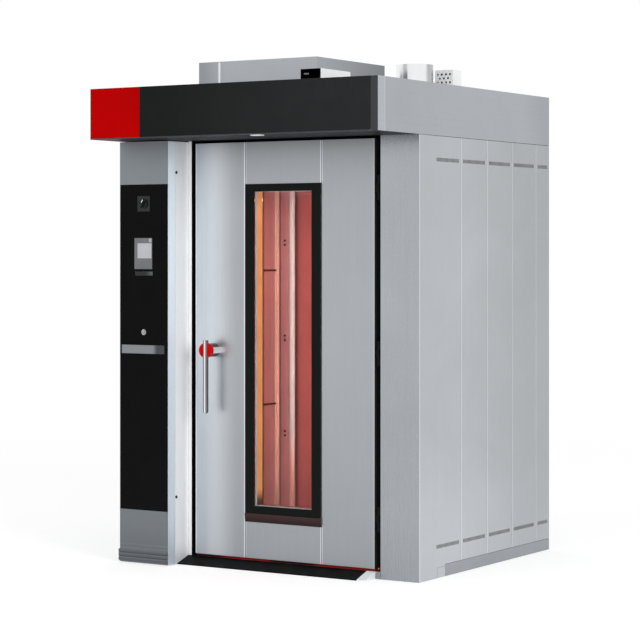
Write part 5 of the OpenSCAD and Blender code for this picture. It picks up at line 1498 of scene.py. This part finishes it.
@dataclass
class Chamber(SubAssembly):
    """The heated chamber, its air blades, ducts, heater, steam plates and lamps."""

    softened: tuple[Part, ...] = (Part("air_blades", BLADE_STEEL, 0.3, 1),)
    repainted: tuple[Part, ...] = (
        Part("chamber_walls", CHAMBER_STEEL), Part("chamber_ceiling", CHAMBER_STEEL),
        Part("chamber_floor", LINER_STEEL), Part("duct_liner", LINER_STEEL),
        Part("heater_cartridge", LINER_STEEL), Part("steam_generator", CAST_GREY),
        Part("chamber_lamps", LAMP_GLOW))
    screw_levels: tuple[float, ...] = (0.582, 1.107, 1.631)
    screw_gap: float = 0.012
    blade_pitch: float = 0.168
    blades: int = 6
    sheet: float = 0.002
    edge_radius: float = 0.027
    last_flat: float = 0.070
    flat: float = 0.088
    screw_inset: float = 0.037
    seam_levels: tuple[float, ...] = (0.751, 1.480)
    seam_height: float = 0.0114
    tick_height: float = 0.003
    mark_gap: float = 0.001
    mark_lift: float = 0.0003
    roll_inset: float = 0.0004
    roll_margin: float = 0.002

    def blade_band(self, start: float, flat: float, grow: float) -> list[tuple[float, float]]:
        """Returns the section of a band that follows a blade's turned edge.

        Args:
            start: Where the band starts along Y, in metres.
            flat: Length of its flat part.
            grow: How far it stands beyond the blade's sheet on both sides; negative inside it.

        Returns:
            Corners in X and Y.
        """
        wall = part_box("air_blades")[0][0] + self.sheet
        steps = 10
        bend = [math.pi / 2 * step / steps for step in range(steps + 1)]
        centre = (wall + self.edge_radius, start + flat)
        inner, outer = self.edge_radius - grow, self.edge_radius + self.sheet + grow
        near = [(centre[0] - inner * math.cos(angle), centre[1] + inner * math.sin(angle)) for angle in bend]
        off = [(centre[0] - outer * math.cos(angle), centre[1] + outer * math.sin(angle))
               for angle in reversed(bend)]
        return [(wall + grow, start), *near, *off, (wall - self.sheet - grow, start)]

    def blade_bars(self, stem: str, band: list[tuple[float, float]], levels: tuple[float, ...],
                   height: float) -> None:
        """Draws a section out into one flat bar at each of some levels.

        Args:
            stem: The pieces' name, to which each bar's number is added.
            band: The section in X and Y.
            levels: Heights of the bars' middles in metres.
            height: Height of a bar in metres.
        """
        for index, level in enumerate(levels):
            bar = Workshop.prism(band, 2, level - height / 2, level + height / 2)
            Workshop.add(f"{stem}_{index}", bar, SEAM_BROWN, self.body, "cast_grey")

    def fittings(self) -> None:
        """Screws and marks on the rearmost blade, seams in the next one, and a rolled edge on each."""
        low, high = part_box("air_blades")
        wall = low[0] + self.sheet
        first = high[1] - self.edge_radius - self.sheet - self.last_flat
        spots = [(wall, first + self.screw_inset, level + side * self.screw_gap)
                 for level in self.screw_levels for side in (-1, 1)]
        screws = Recipes.screws(SCREW_DARK).grow(
            "blade_screw_heads", point_cloud("blade_screws", spots, ALONG_X),
            {"Radius": 0.0065, "Height": 0.008})
        Workshop.finish(screws, SCREW_DARK, self.body, "cast_grey")
        ticks = self.blade_band(first + self.last_flat + self.mark_gap, 0.0, self.mark_lift)
        self.blade_bars("blade_tick", ticks, self.screw_levels, self.tick_height)
        seams = self.blade_band(first - self.blade_pitch + self.mark_gap, self.flat - self.mark_gap,
                                -self.mark_lift)
        self.blade_bars("blade_seam", seams, self.seam_levels, self.seam_height)
        edges = [(high[0] - self.roll_inset, high[1] - index * self.blade_pitch, low[2] + self.roll_margin)
                 for index in range(self.blades)]
        rolls = Recipes.rolled_edges(BLADE_STEEL).grow(
            "blade_rolled_edges", point_cloud("blade_edges", edges, ALONG_Z),
            {"Radius": 0.0022, "Height": high[2] - low[2] - 2 * self.roll_margin})
        Workshop.finish(rolls, BLADE_STEEL, self.body, "chamber_steel")


@dataclass
class RoofPlant(SubAssembly):
    """What stands on the roof: drive cover, flue, vent, inverter, motors and bearing."""

    softened: tuple[Part, ...] = (
        Part("drive_cover", DRIVE_STEEL, 0.8, 2), Part("flue_collar", FLUE_STEEL, 0.5, 2),
        Part("vent_box", VENT_WHITE, 0.5, 1), Part("inverter_box", WHITE_PAINT, 0.8, 2))
    repainted: tuple[Part, ...] = (
        Part("gearmotor", MACHINE_BLUE), Part("fan_motor", MACHINE_BLUE), Part("shaft_bearing", CAST_GREY))
    front_depth: float = 0.0045
    front_gap: float = 0.0002
    front_round: float = 0.0012
    label_place: tuple[float, float] = (0.020, 0.028)  # from the left and from the top
    label_size: tuple[float, float] = (0.028, 0.007)
    label_lift: float = 0.0004
    label_round: float = 0.0003
    seam_place: float = 0.129
    seam_half: float = 0.006
    seam_lift: float = 0.0012
    seam_margin: float = 0.004
    seam_round: float = 0.0005
    flange_screws: int = 8
    flange_inset: float = 0.010
    flange_height: float = 0.0029

    def inverter(self) -> None:
        """The inverter's black front with a bare label."""
        low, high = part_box("inverter_box")
        gap = self.front_gap
        front = Workshop.rounded_block(
            (low[0] + gap, low[1], low[2] + gap),
            (high[0] - gap, low[1] + self.front_depth, high[2] - gap), self.front_round)
        Workshop.add("inverter_front", front, PLASTIC_BLACK, self.body, "black_plastic")
        left, foot = low[0] + self.label_place[0], high[2] - self.label_place[1]
        label = Workshop.rounded_block(
            (left, low[1] - self.label_lift, foot),
            (left + self.label_size[0], low[1] + SUNK, foot + self.label_size[1]), self.label_round)
        Workshop.add("inverter_label", label, BEZEL_GREY, self.body, "display_bezel")

    def cover_seam(self) -> None:
        """The bright strip over the seam of the drive cover's two sheets, a painted highlight along the
        joint.
        """
        low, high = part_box("drive_cover")
        seam = low[0] + self.seam_place
        strip = Workshop.rounded_block(
            (seam - self.seam_half, low[1] - self.seam_lift, low[2] + self.seam_margin),
            (seam + self.seam_half, low[1] + SUNK, high[2] - self.seam_margin), self.seam_round)
        Workshop.add("drive_cover_seam_strip", strip, STRIP_BRIGHT, self.body, "white_paint")

    def flange(self) -> None:
        """A circle of screws on the flue's flange."""
        low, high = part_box("flue_collar")
        middle_x, middle_y = (low[0] + high[0]) / 2, (low[1] + high[1]) / 2
        reach = (high[0] - low[0]) / 2 - self.flange_inset
        turns = [math.tau * (step + 0.5) / self.flange_screws for step in range(self.flange_screws)]
        spots = [(middle_x + reach * math.cos(turn), middle_y + reach * math.sin(turn),
                  low[2] + self.flange_height) for turn in turns]
        screws = Recipes.screws(PLAIN_STEEL).grow(
            "flue_flange_screws", point_cloud("flange_screws", spots, ALONG_Z),
            {"Radius": 0.004, "Height": 0.0025})
        Workshop.finish(screws, PLAIN_STEEL, self.body, "gear_steel")

    def fittings(self) -> None:
        """The inverter's front and label, the drive cover's seam and the flange's screws."""
        self.inverter()
        self.cover_seam()
        self.flange()


@dataclass
class RackDrive(SubAssembly):
    """The hook, the gears, the fan wheel and the damper."""

    body: Body = Body.RACK
    repainted: tuple[Part, ...] = (
        Part("rack_hook", RACK_STEEL), Part("rack_gear", PLAIN_STEEL), Part("drive_pinion", PLAIN_STEEL),
        Part("fan_wheel", LINER_STEEL), Part("flue_damper", PLAIN_STEEL))


# ---------- Studio ----------


@dataclass
class Studio:
    """Floor, lamps, world and camera."""

    camera_spot: Point = (6.023, -9.673, 1.589)
    heading: float = 32.065
    lens: float = 123.9
    sensor: float = 36.0
    shift: float = -0.1089
    floor_size: float = 80.0
    floor_drop: float = 0.0005
    floor_grey: float = 0.60
    floor_glow: float = 0.52
    floor_plain: float = 0.80
    floor_fade: tuple[float, float] = (3.0, 9.0)
    ambient: float = 0.72

    def floor(self) -> None:
        """A pale floor that keeps the oven's soft shadow and runs out into white."""
        solid = bmesh.new()
        bmesh.ops.create_grid(solid, x_segments=8, y_segments=8, size=self.floor_size / 2)
        ground = Workshop.from_bmesh("studio_floor", solid)
        for vert in ground.data.vertices:
            vert.co.z = -self.floor_drop
        material = bpy.data.materials.new("pale_floor")
        material.use_nodes = True
        graph = Graph(material.node_tree)
        material.node_tree.nodes.remove(material.node_tree.nodes["Principled BSDF"])
        output = material.node_tree.nodes["Material Output"]
        matt, plain = [graph.add("ShaderNodeBsdfDiffuse", {"Color": (grey, grey, grey, 1.0)}).outputs[0]
                       for grey in (self.floor_grey, self.floor_plain)]
        lift, white = [graph.add("ShaderNodeEmission", {"Color": rgba(WHITE), "Strength": level}).outputs[0]
                       for level in (self.floor_glow, 1.0)]
        both = graph.add("ShaderNodeAddShader")
        graph.feed(both.inputs[0], matt)
        graph.feed(both.inputs[1], lift)
        length = graph.add("ShaderNodeVectorMath", operation="LENGTH")
        graph.feed(length.inputs[0], graph.object_point())
        far = graph.remap(length.outputs["Value"], 0.0, 1.0, *self.floor_fade, smooth=True)
        seen = graph.mix(far, both.outputs[0], white)
        graph.feed(output.inputs["Surface"], graph.mix(self.shown_rays(graph), plain, seen))
        ground.data.materials.append(material)

    @staticmethod
    def shown_rays(graph: Graph) -> bpy.types.NodeSocket:
        """Returns 1 for camera, glossy and transmission rays, and 0 for all others."""
        path = graph.add("ShaderNodeLightPath")
        first = graph.math("MAXIMUM", path.outputs["Is Camera Ray"], path.outputs["Is Glossy Ray"])
        return graph.math("MAXIMUM", first, path.outputs["Is Transmission Ray"])

    def world(self) -> None:
        """White where it shows, and a plain soft light everywhere else."""
        world = bpy.data.worlds.new("studio_world")
        bpy.context.scene.world = world
        world.use_nodes = True
        graph = Graph(world.node_tree)
        background = world.node_tree.nodes["Background"]
        graph.feed(background.inputs["Strength"], graph.remap(self.shown_rays(graph), self.ambient, 1.0))
        background.inputs["Color"].default_value = rgba(WHITE)

    @staticmethod
    def lamp(name: str, spot: Point, aim: Point, size: tuple[float, float], power: float,
             colour: Colour = WHITE, glossy: bool = True) -> None:
        """Adds an area lamp.

        Args:
            name: The lamp's name.
            spot: Its place in metres.
            aim: The point that it faces.
            size: Its width and height in metres.
            power: Its power in watts.
            colour: Its linear colour.
            glossy: Whether it shows in reflections.
        """
        light = bpy.data.lights.new(name, "AREA")
        light.shape = "RECTANGLE"
        light.size, light.size_y = size
        light.energy = power
        light.color = colour
        holder = place(name, light)
        holder.location = spot
        holder.rotation_euler = (Vector(aim) - Vector(spot)).to_track_quat("-Z", "Y").to_euler()
        holder.visible_camera = False
        holder.visible_glossy = glossy

    def lamps(self) -> None:
        """A key from the right, a low fill from the left, and the glow inside the chamber."""
        middle = (0.0, 0.0, 1.2)
        self.lamp("key_lamp", (8.0, -4.0, 3.2), middle, size=(4.0, 4.0), power=400.0, glossy=False)
        self.lamp("fill_lamp", (-5.0, -7.0, 4.0), middle, size=(4.0, 4.0), power=160.0, glossy=False)
        orange = (1.0, 0.50, 0.30)
        for side, place_x in (("left", -0.48), ("right", 0.62)):
            self.lamp(f"chamber_glow_{side}", (place_x, -0.36, 1.1), (0.06, 0.6, 1.1), size=(0.08, 1.7),
                      power=16.0, colour=orange)
        self.lamp("chamber_glow_top", (0.06, 0.1, 1.86), (0.0, 0.15, 0.0), size=(0.8, 0.7), power=7.0,
                  colour=orange)

    def camera(self) -> None:
        """The camera, level, at the photograph's angle, with a small shift for its framing."""
        lens = bpy.data.cameras.new("studio_camera")
        lens.lens = self.lens
        lens.sensor_width = self.sensor
        lens.shift_y = self.shift
        lens.dof.use_dof = False
        holder = place("studio_camera", lens)
        holder.location = self.camera_spot
        holder.rotation_euler = (math.pi / 2, 0.0, math.radians(self.heading))
        bpy.context.scene.camera = holder

    def build(self) -> None:
        """Sets the whole studio up."""
        bpy.context.scene.view_settings.view_transform = "Standard"
        self.camera()
        self.world()
        self.floor()
        self.lamps()
        LOG.info("studio done")


def main() -> None:
    """Builds the studio and every sub-assembly."""
    logging.basicConfig(level=logging.INFO, format="%(name)s: %(message)s")
    Studio().build()
    for assembly in (Cabinet(), Canopy(), ControlColumn(), ColumnCover(), MainSwitch(), StartButton(),
                     OvenDoor(), Handle(), Chamber(), RoofPlant(), RackDrive()):
        assembly.build()


if __name__ == "__main__":
    main()
